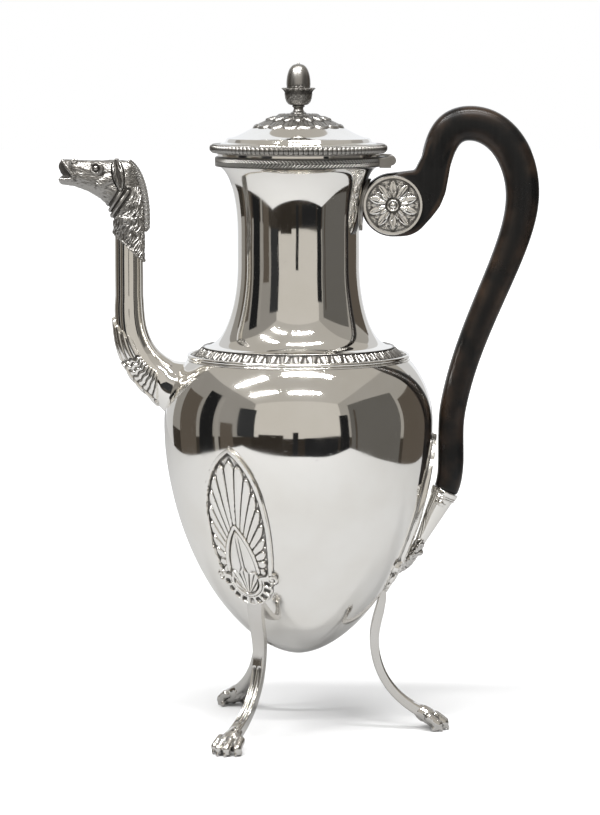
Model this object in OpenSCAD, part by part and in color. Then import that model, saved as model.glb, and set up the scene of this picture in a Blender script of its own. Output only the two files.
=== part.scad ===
// Coffee pot on three paw feet, with a horse's-head spout, a wooden handle and a hinged lid.
// Millimetres. +Z up, spout towards -X, handle towards +X. Origin on the table under the pot's axis.

/* [Bowl] */
// Radius of the bowl at its widest
belly_r = 62.2; // [50:0.1:76]
// Depth of the bowl below its widest level
bowl_depth = 107.5; // [85:0.5:130]
// Height of the bowl's bottom above the table
ground_gap = 36.5; // [30:0.5:44]
// Height that the shoulder's curve would reach above the widest level
shoulder_h = 49; // [40:0.5:60]
// Radius of the seam between bowl and neck
seam_r = 51.5; // [48:0.1:54]
// Thickness of the silver sheet
wall = 1.0; // [0.7:0.1:1.4]

/* [Neck] */
// Radius at the foot of the neck's cone
foot_r = 48.2; // [46:0.1:50]
// Height of the neck's cone
foot_h = 5; // [4:0.1:7]
// Radius at the top of the neck's cone
flare_r = 43.4; // [40:0.1:46]
// Height of the flare above the cone
flare_h = 38; // [30:0.5:46]
// Radius of the neck's waist
neck_r = 28.2; // [24:0.1:33]
// Height of the straight waist
waist_h = 14; // [8:0.5:20]
// Height of the flare under the mouth
lip_h = 31; // [24:0.5:38]
// Radius of the mouth
mouth_r = 37.5; // [33:0.1:42]

/* [Bands] */
// Thickness of the strip on the neck's cone
shoulder_band_t = 0.9; // [0.6:0.1:1.4]
// Radius of the wire under the strip
shoulder_wire_r = 0.9; // [0.6:0.1:1.1]
// Height of the band on the mouth
rim_band_h = 4.5; // [3:0.1:6]
// How far the band stands out from the mouth
rim_band_out = 0.9; // [0.6:0.1:1.4]
// How far the band reaches inside the mouth's edge
rim_band_in = 1.1; // [1:0.1:1.4]

/* [Lid] */
// Overhang of the lid's border beyond the mouth
border_out = 3.5; // [2.5:0.1:4.5]
// Height of the lid's border
border_h = 4.5; // [3.5:0.1:6]
// Height of the lid's flange under the border
flange_h = 1.4; // [1.2:0.1:2]
// Height of the step inside the border
step_h = 2.2; // [1.5:0.1:3]
// Distance of the step inside the mouth
step_in = 1.5; // [1:0.1:2]
// Distance of the dome's foot inside the mouth
dome_in = 6; // [4:0.1:8]
// Rise of the dome above the step
dome_h = 10; // [7:0.5:14]
// Depth of the ring under the lid that finds the mouth
bezel_h = 3.6; // [2.5:0.1:4]
// Clearance of that ring in the mouth
bezel_gap = 0.8; // [0.5:0.1:1.2]
// Radius of the scalloped leaf plate
calyx_r = 21.3; // [16:0.1:25]
// Thickness of the leaf plate
calyx_t = 1.5; // [1:0.1:2.2]
// Leaves round the plate
calyx_leaves = 16; // [12:1:20]

/* [Finial] */
// Radius of the cup's foot
cup_foot_r = 4.4; // [3.6:0.1:5.4]
// Radius of the leafy lip of the cup
cup_lip_r = 8.1; // [6:0.1:10]
// Height of the stem and cup above their foot
cup_h = 11.6; // [9:0.1:14]
// Radius of the acorn
acorn_r = 5.6; // [4.5:0.1:7]
// Height of the acorn above the cup
acorn_h = 11.6; // [9:0.1:14]
// Radius of the threaded tail
tail_r = 1.5; // [1:0.1:2]
// Length of the threaded tail below the dome's top
tail_l = 6; // [5:0.5:8]

/* [Hinge] */
// Radius of the hinge barrel
barrel_r = 2.3; // [1.8:0.1:3]
// Distance of the barrel beyond the rim
barrel_out = 1.5; // [1.2:0.1:2.5]
// Radius of the hinge pin
hinge_pin_r = 0.9; // [0.7:0.1:1.2]
// Length of each fixed knuckle
pot_knuckle_l = 6; // [4:0.5:9]
// Length of the lid's knuckle
lid_knuckle_l = 9; // [6:0.5:14]
// Thickness of the hinge leaves
leaf_t = 0.8; // [0.6:0.1:1.2]

/* [Spout] */
// Distance of the spout's upright stretch beyond the bowl
spout_out = 15.8; // [13:0.1:20]
// Radius of the upright stretch
spout_r = 6.6; // [5:0.1:8]
// Radius at the root of the spout
spout_root_r = 12.5; // [10:0.1:15]
// Height of the root above the widest level of the bowl
spout_root_rise = 21; // [16:0.5:22]
// Height of the bend above the root
spout_bend_h = 34; // [28:0.5:44]
// Thickness of the acanthus leaf
acanthus_t = 1.0; // [0.7:0.1:1.6]
// Radius of the strainer's holes
strainer_r = 1.7; // [1:0.1:2.2]

/* [Horse's head] */
// Height of the head's middle above the upright stretch
head_rise = 28; // [22:0.5:34]
// Length of the head beyond the upright stretch
head_reach = 32.8; // [26:0.1:40]
// Half width of the head across the eyes
head_half_w = 6.3; // [5:0.1:8]
// Length of an ear
ear_l = 8.5; // [6:0.1:11]
// Thickness of the mane
mane_t = 2.6; // [2:0.1:4]

/* [Handle] */
// Radius of the scroll at the top of the grip
scroll_r = 14.5; // [12:0.1:18]
// Width of the scroll
scroll_w = 12; // [10:0.5:16]
// How far the scroll is let in where it meets its mount
scroll_inset = 1.8; // [1:0.1:2.5]
// Height of the scroll's centre below the mouth
scroll_drop = 17.6; // [14:0.1:24]
// Height of the grip's crest above the scroll's centre
grip_rise = 37.3; // [30:0.1:44]
// Distance of the grip's crest beyond the scroll's centre
grip_crest = 35.2; // [28:0.1:42]
// Reach of the grip's back beyond the scroll's centre
grip_reach = 59.7; // [50:0.1:70]
// Half thickness of the grip at its crest
grip_half_t = 8.1; // [6.5:0.1:9.5]
// Half width of the grip
grip_half_w = 7; // [5.5:0.1:8.5]
// Radius of the grip where it meets its socket
grip_foot_r = 5.7; // [4.5:0.1:7]
// How far the flower discs stay inside the scroll's edge
rosette_in = 0.7; // [0.3:0.1:2]
// Thickness of the flower discs
rosette_t = 1.6; // [1:0.1:2.4]
// Petals on a flower disc
rosette_petals = 14; // [10:1:18]
// Height of the leaf-shaped plate on the neck
mount_h = 24; // [18:0.5:30]
// Length of the lower socket
ferrule_l = 27; // [22:0.5:34]
// Distance of the socket's top beyond the bowl's widest radius
ferrule_out = 6.1; // [4:0.1:9]
// Depth of the socket's top below the bowl's widest level, as a share of the bowl's depth
ferrule_drop_share = 0.28837; // [0.24:0.01:0.34]
// Lean of the socket
ferrule_lean = 26; // [20:1:32]

/* [Legs] */
// Width of a leg
leg_w = 6.4; // [5:0.1:8]
// Thickness of a leg
leg_t = 4.6; // [3.6:0.1:6]
// How far a leg's waist lies inside the shell above it
leg_waist_in = 3.7; // [1:0.1:6]
// Height of a leg's waist above the bowl's bottom
leg_waist_rise = 7; // [4:0.5:10]
// Distance of a paw's toes from the axis
toe_r = 70.8; // [62:0.1:80]
// Length of a paw
paw_l = 14; // [11:0.1:17]
// Width of a paw
paw_w = 15; // [12:0.1:18]
// Height of a paw at its cuff
paw_h = 8.8; // [7:0.1:11]
// Radius of a toe
toe_tip_r = 2.6; // [2:0.1:3.2]
// Half width of a palmette plaque
palmette_half_w = 18.2; // [14:0.1:20]
// Height of a palmette above its base, as a share of the bowl's depth
palmette_share = 0.573; // [0.4:0.01:0.6]
// Depth of a palmette's base below the bowl's widest level, as a share of the bowl's depth
palmette_drop_share = 0.614; // [0.55:0.01:0.68]
// Radius of the shell under a palmette
shell_r = 12.4; // [10:0.1:15]
// Thickness of a palmette
palmette_t = 1.9; // [1.2:0.1:2.6]

/* [Hidden] */
$fn = 64;
// Thickness of a solder joint
solder = 0.05;
// Clearance between wood and silver
wood_gap = 0.15;
// Clearance between the lid and what it swings past
swing_gap = 0.3;
// Clearance of the hinge pin in the lid's knuckle
pin_gap = 0.04;
// Steps in each stretch of a swept curve, and sides of a swept section
steps = 8;
sides = 16;
// Facets round the rounded toes
toe_facets = 24;
// Powers that shape the lower bowl, the shoulder and the dome
bowl_power = 1.85;
bowl_round = 0.57;
shoulder_power = 2.2;
dome_power = 1.35;
// Long enough to cut right through the pot
through = 2 * belly_r;

belly_z = ground_gap + bowl_depth;
seam_z = shoulder_z(seam_r);
cone_z = seam_z + wall;
flare_z = cone_z + foot_h;
waist_z = flare_z + flare_h;
throat_z = waist_z + waist_h;
lip_z = throat_z + lip_h;
rim_z = lip_z + rim_band_h;
rim_r = mouth_r + rim_band_out;

lid_z = rim_z + swing_gap;
border_z = lid_z + flange_h;
step_z = border_z + border_h;
dome_z = step_z + step_h;
dome_top_z = dome_z + dome_h;
cup_z = dome_top_z + calyx_t + 2 * solder;
acorn_z = cup_z + cup_h;
step_r = mouth_r - step_in;
dome_r = mouth_r - dome_in;
bezel_r = mouth_r - rim_band_in - bezel_gap;

hinge_x = rim_r + solder + barrel_r + barrel_out;
hinge_z = rim_z - barrel_out;
hinge_l = lid_knuckle_l + 2 * pot_knuckle_l + 2 * swing_gap;

spout_x = belly_r + spout_out;
spout_root_z = belly_z + spout_root_rise;
spout_bend_z = spout_root_z + spout_bend_h;
spout_top_z = throat_z;
head_z = spout_top_z + head_rise;

mount_t = 1.2;
tang_w = 3;
tang_h = 8;
rosette_pin_r = 1.6;
scroll_z = lip_z - scroll_drop;
mount_face = mount_t + 5 * solder;
rosette_r = scroll_r - rosette_in;
scroll_x = neck_outer(scroll_z) + mount_face + scroll_r - scroll_inset;
ferrule_top = [belly_r + ferrule_out, belly_z - ferrule_drop_share * bowl_depth];
ferrule_dir = [sin(ferrule_lean), cos(ferrule_lean)];
ferrule_end_r = 2.4;
ferrule_pin_r = 1;
ferrule_pin_z = -6;
tenon_l = ferrule_l * 0.6;

palmette_h = palmette_share * bowl_depth;
palmette_z = belly_z - palmette_drop_share * bowl_depth;
shell_low = [lower_r(palmette_z - shell_r), palmette_z - shell_r];
leg_waist = [shell_low[0] - leg_waist_in, ground_gap + leg_waist_rise];
cuff = [toe_r - paw_l, paw_h];

// Outlines of the pot

function shoulder_z(r) =
    belly_z + shoulder_h * pow(1 - pow(r / belly_r, shoulder_power), 1 / shoulder_power);
function lower_r(z) = belly_r * pow(1 - pow((belly_z - z) / bowl_depth, bowl_power), bowl_round);

// Outside of the bowl from its bottom to its seam
function bowl_outline(low = 18, high = 10) = concat(
    [for (i = [0:low]) let (z = belly_z - bowl_depth * (1 - pow(i / low, 2))) [lower_r(z), z]],
    [for (i = [1:high]) let (r = belly_r - (belly_r - seam_r) * pow(i / high, 2)) [r, shoulder_z(r)]]);

// Outside of the neck's waist and mouth
function lower_flare() = [for (a = [0:9:90]) [flare_r - (flare_r - neck_r) * sin(a), waist_z - flare_h * cos(a)]];
function upper_flare() = [for (a = [0:9:90]) [mouth_r - (mouth_r - neck_r) * cos(a), throat_z + lip_h * sin(a)]];
function neck_outer(z) = mouth_r - (mouth_r - neck_r) * sqrt(1 - pow((z - throat_z) / lip_h, 2));

// Height of the lid's dome at radius r
function dome_height(r) =
    dome_z + dome_h * pow(sin(90 * (dome_r - max(r, cup_foot_r)) / (dome_r - cup_foot_r)), dome_power);

function unit(v) = v / norm(v);
function turned(v) = [v[1], -v[0]];
function mitre(a, b) = unit(a + b) / cos(acos(min(1, a * b)) / 2);
// An outline moved sideways by d: outwards, if the outline runs upwards
function moved(p, d) = [for (i = [0:len(p) - 1])
    let (before = i == 0 ? p[1] - p[0] : p[i] - p[i - 1],
         after = i == len(p) - 1 ? before : p[i + 1] - p[i])
    p[i] + d * mitre(turned(unit(before)), turned(unit(after)))];
function backwards(list) = [for (i = [len(list) - 1:-1:0]) list[i]];

// Swept curves in the XZ plane: a chain of cubic curves, each from the end of the one before

function bezier(p, t) =
    pow(1 - t, 3) * p[0] + 3 * t * pow(1 - t, 2) * p[1] + 3 * t * t * (1 - t) * p[2] + pow(t, 3) * p[3];
function slope(p, t) =
    pow(1 - t, 2) * (p[1] - p[0]) + 2 * t * (1 - t) * (p[2] - p[1]) + t * t * (p[3] - p[2]);
function chain(curves) = concat([curves[0][0]],
    [for (c = curves) for (i = [1:steps]) bezier(c, i / steps)]);
function normals(curves) = concat([turned(unit(slope(curves[0], 0)))],
    [for (c = curves) for (i = [1:steps]) turned(unit(slope(c, i / steps)))]);
function beside(curves, d) =
    let (p = chain(curves), n = normals(curves)) [for (i = [0:len(p) - 1]) p[i] + d * n[i]];
// A value part way along a list
function between(list, t) =
    let (x = t * (len(list) - 1), i = min(floor(x), len(list) - 2))
    list[i] + (list[i + 1] - list[i]) * (x - i);

// Ring round a point of a curve, from angle a0 to a1
function ring(point, n, half_t, half_w, a0, a1) =
    [for (j = [0:sides - 1]) let (a = a0 + (a1 - a0) * j / sides)
        [point[0] + half_t * cos(a) * n[0], half_w * sin(a), point[1] + half_t * cos(a) * n[1]]];
// Closed rings along a chain, with half sizes read from two lists and thinned by d
function rings(curves, half_t, half_w, d) =
    let (p = chain(curves), n = normals(curves), last = len(p) - 1)
    [for (i = [0:last])
        each ring(p[i], n[i], between(half_t, i / last) - d, between(half_w, i / last) - d, 0, 360)];
function side_faces(first, count) = [for (i = [0:count - 2]) for (j = [0:sides - 1])
    let (a = first + i * sides + j, b = first + i * sides + (j + 1) % sides)
    each [[a, a + sides, b], [b, a + sides, b + sides]]];
function flipped(faces) = [for (f = faces) [f[2], f[1], f[0]]];

// Solid rod along a chain
module rod(curves, half_t, half_w, d = 0) {
    n = len(curves) * steps + 1;
    far = (n - 1) * sides;
    caps = [for (j = [1:sides - 2]) each [[0, j, j + 1], [far, far + j + 1, far + j]]];
    polyhedron(rings(curves, half_t, half_w, d), concat(side_faces(0, n), caps), convexity = 6);
}

// Tube along a chain, open at both ends
module tube(curves, half_t, half_w) {
    n = len(curves) * steps + 1;
    far = (n - 1) * sides;
    m = n * sides;
    ends = [for (j = [0:sides - 1]) let (k = (j + 1) % sides)
        each [[j, k, m + j], [k, m + k, m + j],
              [far + k, far + j, m + far + k], [far + j, m + far + j, m + far + k]]];
    polyhedron(concat(rings(curves, half_t, half_w, 0), rings(curves, half_t, half_w, wall)),
        concat(side_faces(0, n), flipped(side_faces(m, n)), ends), convexity = 8);
}

// Flat bar along a chain
module bar(curves, thick, width) {
    rotate([90, 0, 0]) linear_extrude(width, center = true)
        polygon(concat(beside(curves, -thick / 2), backwards(beside(curves, thick / 2))));
}

// Bowl and neck

// A turned solid that fills an outline to the axis
module turned_solid(outline) {
    last = outline[len(outline) - 1];
    rotate_extrude()
        polygon(concat([[0, outline[0][1]]], [for (p = outline) if (p[0] > solder) p], [[0, last[1]]]));
}
module bowl_solid(d) {
    turned_solid(moved(bowl_outline(), d));
}
module neck_solid(d) {
    turned_solid(moved(upper_flare(), d));
}
module bowl_cavity() {
    inside = moved(bowl_outline(), -wall);
    last = inside[len(inside) - 1];
    turned_solid(concat(inside, [[last[0] - wall, seam_z + wall]]));
}
module strainer_holes() {
    translate([-belly_r, 0, spout_root_z - 3]) rotate([0, 90, 0]) {
        cylinder(r = strainer_r, h = belly_r / 2);
        for (i = [0:5]) rotate(60 * i) translate([spout_root_r / 2, 0, 0])
            cylinder(r = strainer_r, h = belly_r / 2);
    }
}
module bowl() {
    color("silver") difference() {
        bowl_solid(0);
        bowl_cavity();
        strainer_holes();
    }
}
module neck() {
    outer = concat([[foot_r, cone_z]], lower_flare(), upper_flare());
    inner = moved(outer, -wall);
    flange = [[foot_r - 1.6 * wall, seam_z], [seam_r, seam_z], [seam_r, cone_z]];
    color("silver") rotate_extrude()
        polygon(concat(flange, outer, [for (i = [len(inner) - 1:-1:1]) [inner[i][0], min(inner[i][1], lip_z)]]));
}
module shoulder_wire() {
    color("silver") rotate_extrude()
        translate([seam_r - shoulder_wire_r, cone_z + shoulder_wire_r + solder]) circle(shoulder_wire_r);
}
module shoulder_band() {
    side = [[foot_r, cone_z], [flare_r, flare_z]];
    low = moved(side, solder);
    high = moved(side, solder + shoulder_band_t);
    color("silver") rotate_extrude() intersection() {
        polygon([low[0], high[0], high[1], low[1]]);
        translate([0, cone_z + solder]) square([seam_r, foot_h]);
    }
}
module rim_band() {
    groove = rim_band_out / 4;
    inside = mouth_r - rim_band_in;
    color("silver") rotate_extrude()
        polygon([[inside, lip_z], [rim_r, lip_z], [rim_r, lip_z + groove], [rim_r - groove, lip_z + 2 * groove],
            [rim_r - groove, rim_z - 2 * groove], [rim_r, rim_z - groove], [rim_r, rim_z], [inside, rim_z]]);
}

// Spout and horse's head

spout_curves = [
    [[-0.8 * belly_r, spout_root_z - 7], [-belly_r - 4, spout_root_z + 1],
     [-spout_x, spout_root_z + 7], [-spout_x, spout_bend_z]],
    [[-spout_x, spout_bend_z], [-spout_x, spout_bend_z + 10], [-spout_x, spout_top_z - 10], [-spout_x, spout_top_z]]];
spout_radii = concat([spout_root_r, spout_root_r * 0.8], spout_r * [1.3, 1.1, 1, 1, 1, 1]);
module spout_tube() {
    color("silver") difference() {
        tube(spout_curves, spout_radii, spout_radii);
        bowl_solid(solder);
    }
}

// Leaf round the outside of the bend: a thick strip that narrows to its tip
acanthus_first = 3;
acanthus_last = steps;
function acanthus_half_angle(t) = 88 * pow(1 - t, 0.6) + 6;
function acanthus_rings(d) = let (p = chain(spout_curves), n = normals(spout_curves))
    [for (i = [acanthus_first:acanthus_last])
        let (r = between(spout_radii, i / (len(p) - 1)) + d,
             h = acanthus_half_angle((i - acanthus_first) / (acanthus_last - acanthus_first)))
        each ring(p[i], n[i], r, r, 180 - h, 180 + h + 2 * h / (sides - 1))];
module spout_leaf() {
    n = acanthus_last - acanthus_first + 1;
    m = n * sides;
    far = m - sides;
    low = acanthus_rings(4 * solder);
    high = acanthus_rings(4 * solder + acanthus_t);
    skin = [for (i = [0:n - 2]) for (j = [0:sides - 2]) let (a = i * sides + j)
        each [[a, a + sides, a + 1], [a + 1, a + sides, a + sides + 1]]];
    under = [for (f = flipped(skin)) f + [m, m, m]];
    ends = [for (j = [0:sides - 2]) each [[j, j + 1, m + j], [j + 1, m + j + 1, m + j],
        [far + j + 1, far + j, m + far + j + 1], [far + j, m + far + j, m + far + j + 1]]];
    edges = [for (i = [0:n - 2]) let (a = i * sides, b = a + sides - 1)
        each [[a, m + a, a + sides], [m + a, m + a + sides, a + sides],
              [b, b + sides, m + b], [m + b, b + sides, m + b + sides]]];
    color("silver") polyhedron(concat(high, low), concat(skin, under, ends, edges), convexity = 6);
}

// The neck rises from the spout, bends at the poll and runs out along the nose to the open mouth
poll = [-spout_x - head_reach / 2, head_z];
mouth = [-spout_x - head_reach, head_z + 1.5];
head_curves = [
    [[-spout_x, spout_top_z + solder], [-spout_x, spout_top_z + head_rise / 2], [-spout_x - 1, head_z - 4], poll],
    [poll, [poll[0] - 6, mouth[1]], [mouth[0] + 6, mouth[1]], mouth]];
head_half_ts = spout_r * [1, 1.05, 1.35, 1.3, 1, 0.85, 0.85];
head_half_ws = concat([spout_r, spout_r], head_half_w * [1, 1, 0.8, 0.68, 0.68]);
module ear(side) {
    translate([-spout_x - 3.5, side * head_half_w * 0.72, head_z - 1]) rotate([side * -6, 6, 0])
        cylinder(r1 = 2.4, r2 = 0.5, h = ear_l);
}
module horse_head() {
    color("silver") union() {
        tube(head_curves, head_half_ts, head_half_ws);
        difference() {
            for (side = [-1, 1]) ear(side);
            rod(head_curves, head_half_ts, head_half_ws, wall / 2);
        }
    }
}
module mane() {
    nape = [spout_r - spout_x, spout_top_z + 1];
    forelock = [-spout_x - 2.4, head_z + spout_r];
    color("silver") difference() {
        bar([[nape, nape + [2, 13], forelock + [8, -4.5], forelock]], 5, mane_t);
        rod(head_curves, head_half_ts, head_half_ws, -solder);
    }
}

// Legs

module palmette_outline() {
    base = shell_r;
    half = [for (i = [0:10]) bezier([[base, 0], [palmette_half_w * 1.2, palmette_h * 0.22],
        [palmette_half_w, palmette_h * 0.62], [0, palmette_h]], i / 10)];
    polygon(concat(half, [for (i = [9:-1:0]) [-half[i][0], half[i][1]]]));
    circle(base);
}
// Draws its flat children on the bowl, upright at the height of a palmette's base
module towards_bowl() {
    translate([0, 0, palmette_z]) rotate([90, 0, 90]) linear_extrude(through) children();
}
module palmette(angle) {
    color("silver") rotate(angle) intersection() {
        difference() {
            bowl_solid(solder + palmette_t);
            bowl_solid(solder);
        }
        towards_bowl() palmette_outline();
    }
}
leg_curves = [
    [shell_low + [leg_t / 2, 1], shell_low - [1, 8], leg_waist + [0, 8], leg_waist],
    [leg_waist, leg_waist - [0, 16], cuff + [-13, 7], cuff]];
module leg(angle) {
    color("silver") rotate(angle) difference() {
        bar(leg_curves, leg_t, leg_w);
        bowl_solid(solder);
        towards_bowl() circle(shell_r + solder);
    }
}
module toe(y, back) {
    hull() {
        translate([toe_r - paw_l * 0.57, y * 0.8, paw_h * 0.57]) sphere(toe_tip_r + 0.1, $fn = toe_facets);
        translate([toe_r - toe_tip_r - back, y, toe_tip_r - 0.3]) sphere(toe_tip_r, $fn = toe_facets);
    }
}
module paw(angle) {
    spread = paw_w / 2 - toe_tip_r;
    pad_r = leg_w / 2;
    along = slope(leg_curves[1], 1);
    color("silver") rotate(angle) difference() {
        union() {
            for (side = [-1, 1]) {
                toe(side * spread / 3, 0);
                toe(side * spread, 1.6);
            }
            hull() {
                translate([cuff[0], 0, cuff[1]]) sphere(pad_r, $fn = toe_facets);
                for (side = [-1, 1]) translate([toe_r - paw_l * 0.64, side * spread * 0.7, pad_r - 0.4])
                    sphere(pad_r, $fn = toe_facets);
            }
        }
        // Flat sole, and a flat cuff that meets the end of the leg
        translate([0, -paw_w, -paw_w]) cube([2 * toe_r, 2 * paw_w, paw_w]);
        translate([cuff[0], 0, cuff[1]]) rotate([0, -atan2(along[1], along[0]), 0])
            translate([-2 * paw_w + solder, -paw_w, -paw_w]) cube(2 * paw_w);
    }
}

// Handle

// Moves its children to the scroll's centre, with their Z across the handle
module at_scroll() {
    translate([scroll_x, 0, scroll_z]) rotate([90, 0, 0]) children();
}
// Moves its children to the top of the lower socket, with their Z up along it
module at_ferrule() {
    translate([ferrule_top[0], 0, ferrule_top[1]]) rotate([0, ferrule_lean, 0]) children();
}
module rosette_hole() {
    at_scroll() cylinder(r = rosette_pin_r + solder, h = 2 * scroll_w, center = true);
}
module ferrule_hole() {
    at_ferrule() translate([0, 0, ferrule_pin_z]) rotate([90, 0, 0])
        cylinder(r = ferrule_pin_r + solder, h = 4 * grip_foot_r, center = true);
}
module tang(d) {
    translate([neck_r, -tang_w / 2 - d, scroll_z - tang_h / 2 - d])
        cube([scroll_x - neck_r + tang_h / 2 + d, tang_w + 2 * d, tang_h + 2 * d]);
}
module neck_mount() {
    lens = mount_h / 2 * 1.25;
    color("silver") difference() {
        union() {
            intersection() {
                neck_solid(solder + mount_t);
                translate([0, 0, scroll_z]) rotate([90, 0, 90]) linear_extrude(through) intersection() {
                    translate([-mount_h * 0.375, 0]) circle(lens);
                    translate([mount_h * 0.375, 0]) circle(lens);
                }
            }
            tang(0);
        }
        neck_solid(solder);
        rosette_hole();
    }
}
function grip_curves() =
    let (start = [scroll_x + 11, scroll_z + 0.5],
         crest = [scroll_x + grip_crest, scroll_z + grip_rise],
         back = [scroll_x + grip_reach, scroll_z + 4.6],
         low = ferrule_top + [3.2, 38.4])
    [[start, start + [11, 8.5], crest - [22.2, 0], crest],
     [crest, crest + [14.8, 0], back + [0, 17], back],
     [back, back - [0, 25.4], low + [7, 40], low],
     [low, low - [2.3, 13.4], ferrule_top + 10 * ferrule_dir, ferrule_top]];
grip_half_ts = [8, 6.6, grip_half_t - 0.3, grip_half_t, grip_half_t, grip_half_t - 0.4, grip_half_t - 1.2,
    grip_foot_r + 0.6, grip_foot_r + 0.2, grip_foot_r + 0.3, grip_foot_r];
grip_half_ws = [scroll_w / 2 - 0.4, scroll_w / 2 - 0.2, grip_half_w, grip_half_w, grip_half_w, grip_half_w,
    grip_half_w, grip_half_w - 0.3, grip_foot_r + 0.2, grip_foot_r + 0.3, grip_foot_r];
module tenon(d) {
    translate([0, 0, -tenon_l])
        cylinder(r1 = grip_foot_r * 0.45 + d, r2 = grip_foot_r - wall - wood_gap + d, h = tenon_l);
}
module handle_grip() {
    color([0.09, 0.06, 0.05]) union() {
        difference() {
            at_scroll() cylinder(r = scroll_r, h = scroll_w, center = true);
            neck_solid(mount_face);
            tang(wood_gap);
            rosette_hole();
        }
        rod(grip_curves(), grip_half_ts, grip_half_ws);
        difference() {
            at_ferrule() tenon(0);
            ferrule_hole();
        }
    }
}
module rosette(side) {
    field_t = rosette_t * 0.6;
    boss_r = 4;
    petal_l = 6;
    petal_w = 2.2;
    color("silver") difference() {
        at_scroll() mirror([0, 0, side < 0 ? 0 : 1]) translate([0, 0, scroll_w / 2 + solder]) {
            rotate_extrude() polygon([[0, 0], [rosette_r, 0], [rosette_r, rosette_t], [rosette_r - 1.6, rosette_t],
                [rosette_r - 2.2, field_t], [0, field_t]]);
            for (i = [1:rosette_petals]) rotate(i * 360 / rosette_petals) translate([boss_r - 1, -petal_w / 2, field_t / 2])
                cube([petal_l + 1, petal_w, field_t]);
            cylinder(r = boss_r, h = rosette_t * 1.5);
        }
        at_scroll() cylinder(r = rosette_pin_r + solder, h = scroll_w + 2 * rosette_t + 2 * solder, center = true);
    }
}
module rosette_pin() {
    color("silver") at_scroll() cylinder(r = rosette_pin_r, h = scroll_w + 2 * rosette_t, center = true);
}
module ferrule() {
    color("silver") difference() {
        at_ferrule() difference() {
            translate([0, 0, -ferrule_l]) cylinder(r1 = ferrule_end_r, r2 = grip_foot_r, h = ferrule_l - solder);
            tenon(wood_gap);
        }
        ferrule_hole();
    }
}
module ferrule_collar() {
    ring_r = 1.1;
    color("silver") at_ferrule() difference() {
        rotate_extrude() translate([grip_foot_r + 0.2, -2 * ring_r]) circle(ring_r);
        translate([0, 0, -ferrule_l]) cylinder(r1 = ferrule_end_r + solder, r2 = grip_foot_r + solder, h = ferrule_l);
    }
}
module ferrule_pin() {
    half_l = grip_foot_r + 0.3;
    head_r = 1.6 * ferrule_pin_r;
    color("silver") at_ferrule() translate([0, 0, ferrule_pin_z]) rotate([90, 0, 0]) {
        cylinder(r = ferrule_pin_r, h = 2 * half_l, center = true);
        for (side = [-1, 1]) translate([0, 0, side * half_l]) cylinder(r = head_r, h = 1, center = true);
    }
}
module lower_bracket() {
    top = ferrule_top - (ferrule_l + solder) * ferrule_dir;
    foot_z = palmette_z - 2;
    foot = [lower_r(foot_z), foot_z];
    color("silver") difference() {
        bar([[top, top - 5 * ferrule_dir, foot + [9, 1], foot]], 2 * ferrule_end_r, 7);
        bowl_solid(palmette_t + 2 * solder);
    }
}

// Lid

module lid_dome() {
    dome = [for (i = [0:12]) let (r = dome_r + (cup_foot_r - dome_r) * i / 12) [r, dome_height(r)]];
    outer = concat([[mouth_r, lid_z], [mouth_r, border_z], [step_r, border_z], [step_r, step_z],
        [dome_r + wall, step_z], [dome_r + wall, dome_z]], dome);
    color("silver") rotate_extrude() difference() {
        polygon(concat([[tail_r + solder, lid_z]], outer, [[tail_r + solder, dome_top_z]]));
        polygon(concat([[0, lid_z - wall], [bezel_r + solder, lid_z - wall], [bezel_r + solder, border_z],
            [step_r - wall, border_z], [step_r - wall, step_z - wall], [dome_r, step_z - wall]],
            moved(dome, -wall), [[0, dome_top_z - wall]]));
    }
}
module lid_border() {
    r = mouth_r + border_out;
    inside = step_r + solder;
    color("silver") rotate_extrude()
        polygon([[inside, border_z + solder], [mouth_r, border_z + solder], [r - 0.6, border_z + border_h * 0.25],
            [r, border_z + border_h * 0.4], [r - 0.4, border_z + border_h * 0.55], [inside, step_z - 0.2]]);
}
module lid_bezel() {
    color("silver") rotate_extrude()
        translate([bezel_r - wall, lid_z - bezel_h]) square([wall, bezel_h + flange_h - solder]);
}
module calyx() {
    hole_r = cup_foot_r + solder;
    leaf_r = 3.6;
    low = [for (i = [0:8]) let (r = calyx_r + (hole_r - calyx_r) * i / 8) [r, dome_height(r) + solder]];
    color("silver") intersection() {
        rotate_extrude() polygon(concat(low, backwards([for (p = low) p + [0, calyx_t]])));
        linear_extrude(2 * dome_top_z) union() {
            circle(calyx_r - leaf_r / 2);
            for (i = [1:calyx_leaves]) rotate(i * 360 / calyx_leaves) translate([calyx_r - leaf_r, 0]) circle(leaf_r);
        }
    }
}
module acorn_cup() {
    stem_r = cup_foot_r * 0.52;
    seat_z = cup_z + 0.9 * cup_h;
    color("silver") rotate_extrude()
        polygon([[0, dome_top_z - tail_l], [tail_r, dome_top_z - tail_l], [tail_r, dome_top_z + solder],
            [cup_foot_r, dome_top_z + solder], [cup_foot_r, cup_z], [stem_r, cup_z + 0.12 * cup_h],
            [stem_r, cup_z + 0.25 * cup_h], [cup_lip_r * 0.57, cup_z + 0.5 * cup_h],
            [cup_lip_r * 0.72, cup_z + 0.74 * cup_h], [cup_lip_r, cup_z + 0.96 * cup_h],
            [cup_lip_r * 0.93, acorn_z], [acorn_r, seat_z], [0, seat_z]]);
}
module acorn() {
    seat_z = cup_z + 0.9 * cup_h + solder;
    bulge_z = acorn_z + acorn_h * 0.13;
    color("silver") rotate_extrude()
        polygon(concat([[0, seat_z], [acorn_r * 0.9, seat_z], [acorn_r * 0.93, acorn_z]],
            [for (a = [0:10:80]) [acorn_r * pow(cos(a), 0.75), bulge_z + acorn_h * 0.8 * sin(a)]],
            [[acorn_r * 0.09, acorn_z + acorn_h * 0.93], [0, acorn_z + acorn_h]]));
}
washer_t = 0.8;
washer_z = dome_top_z - wall - solder - washer_t;
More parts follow.
